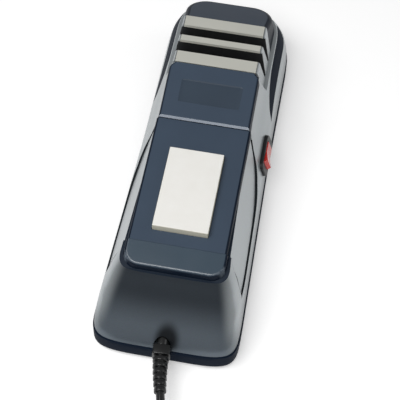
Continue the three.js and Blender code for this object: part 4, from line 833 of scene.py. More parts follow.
bodySettings = {
    "length": 335, "width": 114, "parting": 18, "gap": 0.15, "top": 88, "skinTop": 84,
    # the room inside: its lowest and highest point and the spacing of its rings
    "room": (14, 90, 4),
    "noseDepth": 36.5, "nosePower": 5.5, "rearDepth": 50, "rearPower": 3.4, "noseRun": 58, "rearRun": 27,
    "taperStart": -131, "taperEnd": 18, "rearTaper": 0.945, "baseProud": 0.8, "wall": 2.5,
    # points round each corner and along each flank, and how closely they bunch where a corner ends
    "cornerSteps": 22, "flankSteps": 16, "bunching": 1.4,
    # shares of the skin's height with shares of its half width, nose run and rear run
    "flank": [(0, 1), (0.07, 0.996), (0.16, 0.98), (0.22, 0.962), (0.29, 0.944), (0.37, 0.903), (0.46, 0.856),
              (0.54, 0.806), (0.6, 0.773), (0.69, 0.735), (0.8, 0.703), (0.89, 0.685), (1, 0.66)],
    "nose": [(0, 0), (0.06, 0.03), (0.14, 0.11), (0.25, 0.25), (0.4, 0.45), (0.5, 0.57), (0.6, 0.69),
             (0.8, 0.88), (1, 1)],
    "rear": [(0, 0), (0.15, 0.04), (0.35, 0.17), (0.5, 0.36), (0.6, 0.53), (0.8, 0.8), (1, 1)],
    "noseCurve": 0.65, "rearCurve": 0.35,
    # the flat wing: its lean, and its outline as (place, height), from the tip along the groove and back
    "wing": [(0.1, 1.006), (1.1, 0.522)],
    "groove": [(-121.3, 35.8), (-108, 34.9), (-95, 34.6), (-75, 34.9), (-54, 35.5), (-38, 36.8), (-32, 38),
               (-25, 40), (-18, 42.8), (-11, 46.5), (-3, 53.5), (6.5, 66)],
    "wingBack": [(6.5, 95), (-110.5, 95), (-105, 64), (-110, 57), (-113, 50), (-118.9, 41.8)],
    "crease": [(-121.3, 36.4), (-118.9, 41.8), (-113, 50), (-110, 57), (-105, 64)],
    "grooveRadius": 1.05, "creaseRadius": 0.6,
    # a groove's radius at its start as a share, points until it is full, width to depth, distance outside
    "grooveForm": (0.25, 6, 1.3, 0.1),
    # the line that the top pieces sit on, and the outline's corners clear of the body
    "seat": [(-125, 59.6), (-106.3, 64.9), (6.5, 71.2), (57, 80.4)], "rearSeat": 56,
    "seatEnd": [(59.4, 80.4), (67, 56)], "seatReach": (175, 100, 70),
    # where the seat's painted shade ends, its middle height, and how far it lies from that at most
    "seatShadeReach": (6, 65, 8),
    # the strip's outline as (place, height), from its front tip below and back above
    "strip": [(49.9, 36.5), (60, 38.6), (70, 40), (82.1, 40.8), (100.5, 41.3), (119.9, 41.3), (140, 41.6),
              (144, 48), (140.7, 54), (117.3, 54.5), (100.5, 54.4), (89.9, 54.2), (82.1, 53.2), (72, 51.4),
              (64, 48.6), (55.9, 43.8)],
    "stripDepth": 1.4, "stripGap": 0.3,
    # the strip's outline cuts between these distances from the middle, its skins run between these heights
    "stripReach": (8, 70), "stripHeights": (34, 60), "bedHeights": (30, 64),
    # the hollow that the cord leaves through, flared where it meets the nose, and its hole's radius, length
    # and place
    "scoop": [(0, -152), (5.4, -152), (5.4, -158), (5.7, -161), (6.3, -164), (7.4, -167), (8.4, -169),
              (0, -169)],
    "cordHole": (5.5, 12, (0, -150, 22)),
    # walls round the scoop and the switch stay closed behind
    "keptWalls": [((-14, -172, 17), (14, -149.2, 37)), ((43.6, -6, 26), (60, 34.4, 50))],
}


def easedAt(pairs, t):
    # a smooth curve through the pairs that doesn't swing past them
    if t <= pairs[0][0]:
        slope = (pairs[1][1] - pairs[0][1]) / (pairs[1][0] - pairs[0][0])
        return pairs[0][1] + min(slope, 0) * (t - pairs[0][0])
    if t >= pairs[-1][0]:
        return pairs[-1][1]
    slopes = [(b[1] - a[1]) / (b[0] - a[0]) for a, b in zip(pairs, pairs[1:])]
    lean = [slopes[0]]
    lean += [0 if a * b <= 0 else 2 * a * b / (a + b) for a, b in zip(slopes, slopes[1:])]
    lean.append(slopes[-1])
    k = next(i for i in range(len(slopes)) if t <= pairs[i + 1][0])
    (x0, y0), (x1, y1) = pairs[k], pairs[k + 1]
    h = x1 - x0
    u = (t - x0) / h
    return ((1 + 2 * u) * (1 - u) ** 2 * y0 + u * (1 - u) ** 2 * h * lean[k]
            + u * u * (3 - 2 * u) * y1 + u * u * (u - 1) * h * lean[k + 1])


def taperAt(y):
    s = bodySettings
    t = min(max((y - s["taperStart"]) / (s["taperEnd"] - s["taperStart"]), 0), 1)
    return 1 + (s["rearTaper"] - 1) * t


def levelOutline(z, width, front, rear, noseCurve, rearCurve):
    # a level outline with a superellipse at nose and rear, narrower towards the rear
    s = bodySettings
    bends = [2 * i / s["cornerSteps"] - 1 for i in range(s["cornerSteps"] + 1)]
    angles = [(0.5 + 0.5 * math.copysign(abs(d) ** s["bunching"], d)) * math.pi / 2 for d in bends]

    def corner(a, power):
        r = (math.sin(a) ** power + math.cos(a) ** power) ** (-1 / power)
        return width * r * math.sin(a), r * math.cos(a)

    noseEnd, rearStart = front + noseCurve, rear - rearCurve
    right = [(x, noseEnd - noseCurve * along) for x, along in (corner(a, s["nosePower"]) for a in angles)]
    steps, straight = s["flankSteps"], rearStart - noseEnd
    right += [(width, noseEnd + straight * k / steps) for k in range(1, steps)]
    ends = (corner(a, s["rearPower"]) for a in reversed(angles))
    right += [(x, rearStart + rearCurve * along) for x, along in ends]
    whole = right + [(-x, y) for x, y in reversed(right[1:-1])]
    return [(x * taperAt(y), y, z) for x, y in whole]


def skin(name, inset, low, high, spacing=2.0):
    # the upper shell's outer surface moved inwards, as a solid between two heights
    s = bodySettings
    rise = s["top"] - s["parting"]
    count = max(round((high - low) / spacing), 1)
    rings = []
    for i in range(count + 1):
        z = low + (high - low) * i / count
        t = (z + inset - s["parting"]) / rise
        width = (s["width"] / 2 - s["baseProud"]) * easedAt(s["flank"], t) - inset
        front = s["baseProud"] - s["length"] / 2 + s["noseRun"] * easedAt(s["nose"], t) + inset
        rear = s["length"] / 2 - s["baseProud"] - s["rearRun"] * easedAt(s["rear"], t) - inset
        u = min(max(t, 0), 1)
        rings.append(levelOutline(z, width, front, rear, s["noseDepth"] * (1 - s["noseCurve"] * u),
                                  s["rearDepth"] * (1 - s["rearCurve"] * u)))
    return loft(name, rings)


def wingCutter(side):
    # the slab outside the flat wing's plane, kept within the wing's outline
    s = bodySettings
    rise = s["top"] - s["parting"]
    half = s["width"] / 2 - s["baseProud"]
    near, far = s["wing"]
    rings = []
    for y in (s["taperStart"] - s["noseDepth"], s["taperStart"], s["taperEnd"], s["length"] / 2):
        reach, out = half * taperAt(y), s["width"]
        corners = [(near[1] * reach, near[0]), (out, near[0]), (out, far[0]), (far[1] * reach, far[0])]
        rings.append([(side * x, y, s["parting"] + t * rise) for x, t in corners])
    slab = loft("wingSlab", rings)
    outline = smoothLine(s["groove"], 5) + s["wingBack"][:2]
    outline += smoothLine(s["wingBack"][2:] + s["groove"][:1], 4)[:-1]
    carve(slab, acrossBody("wingPrism", outline, *sorted((0, side * s["width"]))), "INTERSECT")
    return slab


def wingPlaneAt(y, z):
    s = bodySettings
    (t0, w0), (t1, w1) = s["wing"]
    t = (z - s["parting"]) / (s["top"] - s["parting"])
    return (w0 + (w1 - w0) * (t - t0) / (t1 - t0)) * (s["width"] / 2 - s["baseProud"]) * taperAt(y)


def grooveCutter(side, outline, radius):
    # a round-bottomed groove along the wing's edge, running out to nothing at its start
    least, fullAfter, wide, proud = bodySettings["grooveForm"]
    line = smoothLine(outline, 5)
    rings = []
    for i, (y, z) in enumerate(line):
        before, after = line[max(i - 1, 0)], line[min(i + 1, len(line) - 1)]
        out = Vector((side, 0, 0))
        across = Vector((0, after[0] - before[0], after[1] - before[1])).normalized().cross(out)
        centre = Vector((side * (wingPlaneAt(y, z) + proud), y, z))
        size = radius * min(1, least + i / fullAfter)
        rings.append([tuple(centre + size * (math.cos(a) * out * wide + math.sin(a) * across))
                      for a in (k * math.tau / 8 for k in range(8))])
    # the groove's faces take the painted shade
    return leaving(grooveShadeLacquer, loft("grooveCutter", rings))


def stripPrism(side, grow):
    s = bodySettings
    line = smoothLine([*s["strip"], s["strip"][0]], 4)[:-1]
    grown = []
    for i, (y, z) in enumerate(line):
        before, after = line[i - 1], line[(i + 1) % len(line)]
        along = Vector((after[0] - before[0], after[1] - before[1])).normalized()
        grown.append((y + along.y * grow, z - along.x * grow))
    return acrossBody("stripPrism", grown, *sorted(side * x for x in s["stripReach"]))


# the switch's length is along the body, its width up the flank, its heights out of the flank
switchSettings = {
    "centre": (50.6, 14.2, 37.5), "tilt": 18, "length": 35.4, "width": 15.5, "proud": 2.3, "sunk": 1,
    "corner": 5, "rim": 0.9, "seatGap": 0.3, "seatTop": 9,
    "windowLength": 22.8, "windowWidth": 11.6, "windowCorner": 0.6, "well": 9, "wellTop": 6,
    "caseDepth": 17, "caseWall": 1.1, "caseEdge": 0.25,
    # length, width, corner, lowest and highest point of the hole for the case
    "caseHole": (28.6, 15.2, 0.6, -12, 3),
    "rockerLength": 22, "rockerWidth": 10.8, "pivot": 1, "crown": 3.9, "rest": 6.5, "depth": 6,
    "rockerEdge": 0.5,
    # the rocker's face falls from its ends to a shallow valley: height over the crown, place
    "valley": [(0.3, -1.8), (0.1, 0), (0.3, 1.8)], "arcSteps": 12,
}


def onSwitch(piece):
    # from the switch's own frame, its first axis out of the flank, to its place
    s = switchSettings
    piece.data.transform(Matrix.Translation([c * mm for c in s["centre"]])
                         @ Matrix.Rotation(-math.radians(s["tilt"]), 4, "Y"))
    return piece


def oval(name, length, width, corner, low, high):
    plate = block(name, (low, -length / 2, -width / 2), (high, length / 2, width / 2))
    roundPicked(plate, lambda a, b: abs(a.x - b.x) > (high - low) / 2, corner, 8)
    return plate


def buildShells():
    s, w = bodySettings, switchSettings
    paints = [silver, grooveShadeLacquer, seatShadeLacquer]
    housing = skin("housingShell", 0, s["parting"] + s["gap"], s["skinTop"])
    for paint in paints:
        housing.data.materials.append(paint)
    room = skin("housingRoom", s["wall"], *s["room"])
    for side in (-1, 1):
        carve(housing, wingCutter(side))
        carve(housing, grooveCutter(side, s["groove"], s["grooveRadius"]))
        carve(housing, grooveCutter(side, s["crease"], s["creaseRadius"]))
    along, above, across = s["seatReach"]
    line = [(-along, s["seat"][0][1]), *s["seat"], *s["seatEnd"], (along, s["rearSeat"]), (along, above),
            (-along, above)]
    carve(housing, acrossBody("seatCutter", line, -across, across))
    # the seat of the cap and the stone holder is painted dark, as the shade round those pieces
    end, height, within = s["seatShadeReach"]
    for face in housing.data.polygons:
        _, y, z = face.center / mm
        if face.normal.z > 0.9 and y < end and abs(z - height) < within:
            face.material_index = paints.index(seatShadeLacquer)
    carve(housing, spun("scoopCutter", s["scoop"], (0, 0, cordSettings["root"][2]), "Y", 56))
    gap = w["seatGap"]
    carve(housing, onSwitch(oval("bezelSeat", w["length"] + 2 * gap, w["width"] + 2 * gap, w["corner"] + gap,
                                 -w["sunk"] - gap, w["seatTop"])))
    # the strips' beds go down to a skin a little inside the outer one
    bed = skin("stripBed", s["stripDepth"] + s["stripGap"], *s["bedHeights"])
    for side in (-1, 1):
        prism = stripPrism(side, s["stripGap"])
        carve(prism, bed, keep=True)
        carve(housing, prism)
    bpy.data.objects.remove(bed)
    for low, high in s["keptWalls"]:
        carve(room, block("keptWall", low, high))
    carve(housing, room)
    carve(housing, onSwitch(oval("caseHole", *w["caseHole"])))
    carve(housing, cylinder("cordHole", *s["cordHole"], "Y", 40))
    finishPiece(housing, "body", ["upper_housing"], paints, 28)

    for side, label in ((-1, "left"), (1, "right")):
        strip = skin("flankStrip" + label.title(), 0, *s["stripHeights"])
        carve(strip, stripPrism(side, 0), "INTERSECT")
        carve(strip, skin("stripBack", s["stripDepth"], *s["bedHeights"]))
        finishPiece(strip, "body", ["side_inlay_" + label], navyAbs, 30)


# Feet and base screws, seen from below. Profiles are (distance from the middle, height)
footSettings = {
    "places": {"front_left": (-34, -143), "front_right": (34, -143), "rear_left": (-34, 138),
               "rear_right": (34, 138)},
    # a dimple underneath and a rounded edge
    "profile": [(0, 0.5), (2.6, 0.5), (3, 0.1), (3.3, 0), (6.2, 0), (6.6, 0.15), (6.85, 0.4), (7, 0.8),
                (7, 3.2), (0, 3.2)],
}
screwSettings = {
    "places": {"front_left": (-27, -128), "front_right": (27, -128), "rear_left": (-41, 122),
               "rear_right": (41, 122)},
    "head": [(0, 5.5), (1.9, 5.5), (2.7, 5.8), (3, 6.4), (3, 7.7), (1.5, 7.7)],
    "shank": [(1.5, 26.7), (0.6, 27.7), (0, 27.7)],
    # length, width and depth of the slits of the cross
    "recess": (3.6, 0.7, 1.4), "threadRoot": 1.15, "threadTop": 1.5, "pitch": 1.1, "threadFrom": 1,
}


def buildFeet(s):
    for corner, (x, y) in s["places"].items():
        foot = spun("foot" + corner.title().replace("_", ""), s["profile"], (x, y, 0), "Z", 48, closed=False)
        finishPiece(foot, "body", ["foot_" + corner], footRubber, 40)


def buildScrews(s):
    long, wide, deep = s["recess"]
    low = s["head"][0][1]
    thread, z = [], s["head"][-1][1] + s["threadFrom"]
    while z < s["shank"][0][1] - s["pitch"]:
        thread += [(s["threadRoot"], z), (s["threadTop"], z + s["pitch"] / 2)]
        z += s["pitch"]
    for corner, (x, y) in s["places"].items():
        name = "baseScrew" + corner.title().replace("_", "")
        screw = spun(name, s["head"] + thread + s["shank"], (x, y, 0), "Z", 32, closed=False)
        for a, b in ((long, wide), (wide, long)):
            slit = block("crossRecess", (x - a / 2, y - b / 2, low - 1), (x + a / 2, y + b / 2, low + deep))
            carve(screw, slit)
        finishPiece(screw, "body", ["base_screw_" + corner], steel, 40)


traySettings = {
    # the outline is drawn in at the foot and, a little, at the top
    "foot": 2, "footDrawn": 2.7, "edge": 3, "edgeSteps": 6, "levels": (9, 13, 17.2), "topDrawn": 0.35,
    "wall": 2.6, "room": (4.5, 30),
    # radius, length and middle height of what each foot and each screw sits in
    "footRecess": (7.3, 4, 1.5), "pillar": (4.2, 14.85, 10.425), "bore": (3.4, 10, 3), "hole": (1.9, 30, 10),
    "vents": {"count": 7, "middle": -10, "pitch": 6.4, "long": 15, "wide": 1.3, "round": 1.25, "top": 7},
    # radius, length and place
    "cordNotch": (6.9, 30, (0, -167, 22)),
}


def buildTray(t):
    s = bodySettings

    def ring(z, drawn):
        end = s["length"] / 2 - drawn
        return levelOutline(z, s["width"] / 2 - drawn, -end, end, s["noseDepth"], s["rearDepth"])

    def sunk(name, at, operation="DIFFERENCE", vertices=32):
        radius, length, z = t[name]
        carve(tray, cylinder(name, radius, length, (*at, z), vertices=vertices), operation)

    rings = [ring(t["foot"], t["footDrawn"])]
    for k in range(1, t["edgeSteps"] + 1):
        a = k / t["edgeSteps"] * math.pi / 2
        rings.append(ring(t["foot"] + t["edge"] * (1 - math.cos(a)), t["edge"] * (1 - math.sin(a))))
    rings += [ring(z, 0) for z in t["levels"]] + [ring(s["parting"] - s["gap"], t["topDrawn"])]
    tray = loft("baseShell", rings)
    carve(tray, loft("trayRoom", [ring(z, t["wall"]) for z in t["room"]]))
    for at in footSettings["places"].values():
        sunk("footRecess", at, vertices=40)
    for at in screwSettings["places"].values():
        sunk("pillar", at, "UNION")
        sunk("bore", at)
        sunk("hole", at, vertices=24)
    v = t["vents"]
    for k in range(v["count"]):
        y = v["middle"] + (k - (v["count"] - 1) / 2) * v["pitch"]
        slit = block("ventSlit", (-v["long"], y - v["wide"], -1), (v["long"], y + v["wide"], v["top"]))
        roundPicked(slit, lambda a, b: abs(a.z - b.z) > 4, v["round"], 5)
        carve(tray, slit)
    carve(tray, cylinder("cordNotch", *t["cordNotch"], "Y", 40))
    finishPiece(tray, "body", ["base_tray"], navyAbs, 30)


buildShells()
buildTray(traySettings)
print("shells and strips made")


# Blue top pieces on their sloping seat, and the stone

topSettings = {
    # seam between neighbours, gap over the seat, lean of the sides, rounding of the top's edge
    "seam": 0.15, "lift": 0.3, "slope": 0.17, "edge": 1.8,
    # the room under a cover: roof and wall left, reach below the seat, lean of its sides
    "roof": 2.4, "wall": 2.6, "below": 3, "roomSlope": 0.15,
    "cap": {"half": 39.4, "front": -125, "rear": -106.3, "thick": 5.9, "corner": 11, "roll": 2,
            "rollForm": 0.55, "drawn": 0.6},
    "holder": {"half": 38.6, "front": -106.3, "rear": 6.5, "thick": 5.6},
    "head": {"half": 37.6, "front": 6.5, "rear": 57, "thick": 7.2, "corner": 5.5, "edge": 2,
             "edgeForm": 0.6, "step": 1, "stepSlope": 0.78, "stepReach": 9, "stepTop": 20},
    "recess": {"middle": 0.5, "half": 25.5, "front": 22.5, "rear": 42, "depth": 0.6, "corner": 3,
               "wall": 0.9},
    "stone": {"half": 21.5, "front": -95, "rear": -23, "proud": 5.4, "sunk": 3, "bed": 0.3, "clear": 0.4,
              "corner": 0.7},
    "cover": {"half": 39.6, "front": 108.3, "rear": 151, "thick": 28, "thickEnd": 10, "corner": 19.8,
              "edge": 4, "drawn": 1.7, "sideWall": 3.6, "rearWall": 6, "roof": 3.9, "roomCorner": 15},
    # how far cutters stand out of what they cut, and their half width across the body
    "over": 4, "across": 60,
}


def seatAt(y):
    line = bodySettings["seat"]
    for (a, low), (b, high) in zip(line, line[1:]):
        if y <= b:
            return low + (high - low) * (y - a) / (b - a)
    return line[-1][1]


def lifted(heightAt, rise):
    return lambda y: heightAt(y) + rise


def slopedBlock(name, half, front, rear, lowAt, highAt, slope, drawnFront, drawnRear):
    # a block whose underside and top follow heights at its ends, its sides drawn in by a share of its height
    rough = 10
    piece = block(name, (-half, front, 0), (half, rear, rough))
    edit(piece)
    for y, high in ((front, True), (rear, True), (front, False), (rear, False)):
        pick("VERT", lambda p: abs(p.y - y) < 0.01 and (p.z > rough / 2) == high)
        move(z=(highAt(y) - rough) if high else lowAt(y))
    for y, drawn in ((front, drawnFront), (rear, -drawnRear)):
        pick("VERT", lambda p: abs(p.y - y) < 0.01 and p.z > highAt(y) - 0.5)
        stretch(x=1 - slope * (highAt(y) - lowAt(y)) / half)
        move(y=drawn)
    clear()
    return piece


def uprights(near):
    # picks the upright edges of a block's end
    return lambda a, b: abs(a.z - b.z) > 3 and max(abs(a.y - near), abs(b.y - near)) < 3


def topEdge(piece, highAt, keep, width, segments=5, profile=0.5):
    # rounds the upper edge, apart from ends that meet a neighbour
    def test(a, b):
        meets = any(max(abs(a.y - k), abs(b.y - k)) < 0.9 for k in keep)
        return not meets and min(a.z - highAt(a.y), b.z - highAt(b.y)) > -1.2

    roundPicked(piece, test, width, segments, profile)


def coverBlock(t, s, name, front, rear, drawn=0):
    return slopedBlock(name, s["half"], front, rear, lifted(seatAt, t["lift"]), lifted(seatAt, s["thick"]),
                       t["slope"], drawn, 0)


def roomUnder(t, s, name, front, rear):
    wall = t["wall"]
    return slopedBlock(name, s["half"] - wall, front + wall, rear - wall, lifted(seatAt, -t["below"]),
                       lifted(seatAt, s["thick"] - t["roof"]), t["roomSlope"], 1, 1)


def buildCap(t):
    s = t["cap"]
    front, rear = s["front"], s["rear"] - t["seam"]
    high = lifted(seatAt, s["thick"])
    cap = coverBlock(t, s, "frontCap", front, rear, s["drawn"])
    roundPicked(cap, uprights(front), s["corner"], 12)
    topEdge(cap, high, [rear], s["roll"], 7, s["rollForm"])
    under = roomUnder(t, s, "capRoom", front, rear)
    roundPicked(under, uprights(front + t["wall"]), s["corner"] - t["wall"], 8)
    carve(cap, under)
    finishPiece(cap, "body", ["front_cap"], capAbs, 35, weighted=True)


def buildHolder(t):
    s, k = t["holder"], t["stone"]
    front, rear = s["front"] + t["seam"], s["rear"] - t["seam"]
    high, clear = lifted(seatAt, s["thick"]), k["clear"]
    holder = coverBlock(t, s, "stoneHolder", front, rear)
    topEdge(holder, high, [front, rear], t["edge"])
    carve(holder, slopedBlock("stonePocket", k["half"] + clear, k["front"] - clear, k["rear"] + clear,
                              lifted(high, -k["sunk"] - k["bed"]), lifted(high, t["over"]), 0, 0, 0))
    finishPiece(holder, "body", ["stone_holder"], blueAbs, 35, weighted=True)

    plate = slopedBlock("whetstone", k["half"], k["front"], k["rear"], lifted(high, -k["sunk"]),
                        lifted(high, k["proud"]), 0, 0, 0)
    roundPicked(plate, lambda a, b: abs(a.z - b.z) > 6 or min(a.z - high(a.y), b.z - high(b.y)) > 2,
                k["corner"])
    finishPiece(plate, "body", ["ceramic_plate"], stone, 35, weighted=True)


def buildHead(t):
    s, r = t["head"], t["recess"]
    front, rear = s["front"] + t["seam"], s["rear"] - t["seam"]
    high = lifted(seatAt, s["thick"])
    head = coverBlock(t, s, "headCover", front, rear)
    plastics = [blueAbs, polishedStepHighlightAbs, recessAbs]
    for plastic in plastics:
        head.data.materials.append(plastic)
    roundPicked(head, uprights(rear), s["corner"], 8)
    topEdge(head, high, [front, rear], s["edge"], 5, s["edgeForm"])
    # down to the holder the front edge is one flat, leaning step
    foot, lean, reach = high(front) - s["step"], s["stepSlope"], s["stepReach"]
    step = [(front - 1, foot - lean), (front + reach, foot + reach * lean), (front - 1, foot + s["stepTop"])]
    # the step's faces take the lighter paint, a painted highlight
    carve(head, leaving(polishedStepHighlightAbs, acrossBody("frontStep", step, -t["across"], t["across"])))
    grow = -(t["over"] + r["depth"]) * r["wall"]
    plate = slopedBlock("plateRecess", r["half"], r["front"], r["rear"], lifted(high, -r["depth"]),
                        lifted(high, t["over"]), -r["wall"], grow, grow)
    plate.data.transform(Matrix.Translation((r["middle"] * mm, 0, 0)))
    roundPicked(plate, lambda a, b: abs(a.z - b.z) > 3, r["corner"], 6)
    carve(head, leaving(recessAbs, plate))
    carve(head, roomUnder(t, s, "headRoom", front, rear))
    finishPiece(head, "body", ["head_cover"], plastics, 20, weighted=True)


def buildRearCover(t):
    s = t["cover"]
    front, rear, foot = s["front"], s["rear"], bodySettings["rearSeat"]

    def high(y):
        return foot + s["thick"] + (s["thickEnd"] - s["thick"]) * (y - front) / (rear - front)

    cover = slopedBlock("rearCover", s["half"], front, rear, lambda y: foot + t["lift"], high, t["slope"], 0,
                        s["drawn"])
    roundPicked(cover, uprights(rear), s["corner"], 14)
    topEdge(cover, high, [front], s["edge"], 7)
    under = slopedBlock("coverRoom", s["half"] - s["sideWall"], front + t["wall"], rear - s["rearWall"],
                        lambda y: foot - t["below"], lifted(high, -s["roof"]), t["slope"], 0, 1)
    roundPicked(under, uprights(rear - s["rearWall"]), s["roomCorner"], 8)
    carve(cover, under)
    finishPiece(cover, "body", ["rear_cover"], blueAbs, 35, weighted=True)


for build in (buildCap, buildHolder, buildHead, buildRearCover):
    build(topSettings)
print("top pieces made")


# The head: three grey guides with a slot between each two, silver cheeks beside them, black linings in the
# slots

headSettings = {
    "seat": 56, "foot": 56.3, "top": 88, "topHalf": 34.6, "footHalf": 40, "shoulder": 2.4, "shoulderSteps": 8,
    "lean": 10, "insert": 33.2, "cheek": 33.5, "rail": 58.3, "edge": 0.75, "cheekEdge": 0.3, "end": 108,
    "lining": 1.2, "liningTop": 85, "liningFoot": 58.6, "room": 0.3,
    "disc": 26, "discHeight": 42, "pocket": 6,
    # a section's run along the body and its half width, clear of the head
    "run": (50, 115), "across": 60,
    # where each block starts and ends at the top, and whether its two ends lean
    "blocks": {"front": (57.3, 69, True, True), "middle": (80.7, 86.5, False, True),
               "rear": (97.4, 108, False, False)},
    "slotRears": [80.7, 97.4],
}


def headOutline(s, start, end, startLeans, endLeans):
    reach = s["lean"] * (s["top"] - s["foot"]) / (s["top"] - s["seat"])
    return [(start + reach * startLeans, s["foot"]), (end + reach * endLeans, s["foot"]), (end, s["top"]),
            (start, s["top"])]


def headSection(s, fromY, toY):
    # the head's cross-section with rounded shoulders, between two places along the body
    slope = (s["footHalf"] - s["topHalf"]) / (s["top"] - s["seat"])
    half = [(s["footHalf"] - slope * (s["foot"] - s["seat"]), s["foot"])]
    for k in range(s["shoulderSteps"] + 1):
        t = k / s["shoulderSteps"]
        x = ((1 - t) ** 2 * (s["topHalf"] + slope * s["shoulder"]) + 2 * t * (1 - t) * s["topHalf"]
             + t * t * (s["topHalf"] - s["shoulder"]))
        half.append((x, s["top"] - (1 - t) ** 2 * s["shoulder"]))
    ring = half + [(-x, z) for x, z in reversed(half)]
    return loft("headSection", [[(x, y, z) for x, z in ring] for y in (fromY, toY)])


def liningRoom(s, y):
    return block("liningRoom", (-s["across"], y - s["room"], s["rail"]),
                 (s["across"], y + s["lining"] + s["room"], s["liningTop"] + s["room"]))


def discPocket(s, y):
    return cylinder("discPocket", s["disc"], 2 * s["pocket"], (0, y, s["discHeight"]), "Y", 96)


def buildGuides(s):
    for label, place in s["blocks"].items():
        guide = acrossBody(label + "Guide", headOutline(s, *place), -s["insert"], s["insert"])
        carve(guide, headSection(s, *s["run"]), "INTERSECT")
        for y in s["slotRears"]:
            carve(guide, liningRoom(s, y))
            if abs(place[0] - y) < 1:
                carve(guide, discPocket(s, y))
        softEdges(guide, s["edge"])
        finishPiece(guide, "body", [label + "_guide"], guideAbs, 35, weighted=True)


def buildCheeks(s):
    for side, label in ((-1, "left"), (1, "right")):
        near, far = sorted((side * s["cheek"], side * s["across"]))
        first = headOutline(s, *s["blocks"]["front"])[0][0]
        rail = [(first, s["foot"]), (s["end"], s["foot"]), (s["end"], s["rail"]), (first, s["rail"])]
        cheek = acrossBody("headCheek" + label.title(), rail, near, far)
        for place in s["blocks"].values():
            carve(cheek, acrossBody("tooth", headOutline(s, *place), near, far), "UNION")
        carve(cheek, headSection(s, *s["run"]), "INTERSECT")
        for y in s["slotRears"]:
            carve(cheek, liningRoom(s, y))
        softEdges(cheek, s["cheekEdge"], 1)
        finishPiece(cheek, "body", ["head_cheek_" + label], silver, 35, weighted=True)


# the black linings stand for the slots' dark inner walls, and also for the shade deep in the narrow slots
def buildLinings(s):
    for label, y in zip(("front", "rear"), s["slotRears"]):
        lining = headSection(s, y, y + s["lining"])
        lining.name = "slotLining" + label.title()
        out = s["across"]
        band = block("liningBand", (-out, y - 3, s["liningFoot"]), (out, y + 4, s["liningTop"]))
        carve(lining, band, "INTERSECT")
        carve(lining, discPocket(s, y))
        finishPiece(lining, "body", ["slot_lining_" + label], blackAbs, 35, weighted=True)


for build in (buildGuides, buildCheeks, buildLinings):
    build(headSettings)
print("head made")


# Rocker switch on the right flank, whose settings stand with the housing

def buildSwitch(s):
    halfLength, halfWidth = s["windowLength"] / 2 + s["caseWall"], s["windowWidth"] / 2 + s["caseWall"]
    bezel = oval("switchBody", s["length"], s["width"], s["corner"], -s["sunk"], s["proud"])
    roundPicked(bezel, lambda a, b: min(a.x, b.x) > s["proud"] - 0.05, s["rim"], 4)
    deep = s["sunk"] + s["caseDepth"]
    carve(bezel, block("switchCase", (-deep, -halfLength, -halfWidth), (0, halfLength, halfWidth)), "UNION")
    carve(bezel, oval("switchWell", s["windowLength"], s["windowWidth"], s["windowCorner"], -s["well"],
                      s["wellTop"]))
    softEdges(bezel, s["caseEdge"], 2, 60)
    finishPiece(onSwitch(bezel), "body", ["switch_body"], blackAbs, 40, weighted=True)

    # the rocker's side outline: two flats that meet in a shallow valley, ends rounded about its pivot
    end, deep = s["rockerLength"] / 2, s["depth"] - s["pivot"]
    rise = end * math.tan(math.radians(s["rest"]))
    lowTurn, highTurn, steps = math.asin(deep / end), math.asin((rise + s["crown"]) / end), s["arcSteps"]
    arc = [(-math.pi / 2 - lowTurn) + (lowTurn + highTurn) * k / steps for k in range(steps + 1)]
    outline = [(end * math.cos(a), end * math.sin(a)) for a in arc]
    outline += [(s["crown"] + x, y) for x, y in s["valley"]] + [(x, -y) for x, y in reversed(outline)]
    half = s["rockerWidth"] / 2
    rocker = loft("switchRocker", [[(x, y, z) for x, y in outline] for z in (-half, half)])
    roundPicked(rocker, lambda a, b: abs(a.z - b.z) < 0.01 and min(a.x, b.x) > -deep + 1, s["rockerEdge"])
    rocker.data.transform(Matrix.Translation((-s["pivot"] * mm, 0, 0))
                          @ Matrix.Rotation(math.radians(s["rest"]), 4, "Z"))
    finishPiece(onSwitch(rocker), "rocker", ["switch_rocker"], redPc, 35, weighted=True)


buildSwitch(switchSettings)
print("switch made")


# Shaft, discs and springs under the slots. Profiles are (distance from the shaft, place along it)

shaftSettings = {
    "height": 42, "radius": 4, "start": -5.6, "end": 117.7, "edge": 0.6, "pinRadius": 1, "pinReach": 5.2,
    "pins": [89.1, 105.8], "discs": [("1", "front", 0), ("2", "rear", 16.7)], "travel": 1.5,
    "ring": [(15, 80.4), (15.2, 80.2), (23.8, 80.2), (24, 80.4), (24, 81.4), (15, 81.4)],
    "holder": [(4.3, 81.55), (23.7, 81.55), (24, 81.85), (24, 83.1), (23.7, 83.4), (6.3, 83.4), (5.7, 83.6),
               (5.5, 84.2), (5.5, 88.6), (5.2, 88.9), (4.3, 88.9)],
    # half length, depth, and gap beside the pin
    "hubSlot": (6, 3.4, 0.3),
    "collar": [(4.3, 92.2), (8.7, 92.2), (9, 92.5), (9, 94.5), (8.7, 94.8), (4.3, 94.8)],
    # radius, length and distance from the shaft
    "setScrew": (1.1, 8, 9),
    "clip": [(4.3, 80.4), (6.9, 80.4), (7, 80.5), (7, 81), (6.9, 81.1), (4.3, 81.1)],
    # half width, run along the shaft, and depth from the shaft's middle
    "clipMouth": (2.6, 79, 83, 12),
    "spring": {"radius": 6.6, "wire": 0.4, "turns": 4, "from": 84.1, "to": 91.5, "anchor": 92, "steps": 20},
}


def finishPair(piece, name, node, material, onDisc=False, smooth=40):
    # finishes a piece and its copy one disc further back, on the discs or on the rotor
    pair = [piece]
    for _ in shaftSettings["discs"][1:]:
        each = piece.copy()
        each.data = piece.data.copy()
        bpy.context.collection.objects.link(each)
        pair.append(each)
    for each, (label, side, shift) in zip(pair, shaftSettings["discs"]):
        each.name = name + label
        each.data.transform(Matrix.Translation((0, shift * mm, 0)))
        finishPiece(each, side + "_disc" if onDisc else "rotor", [node + label], material, smooth)
    return pair


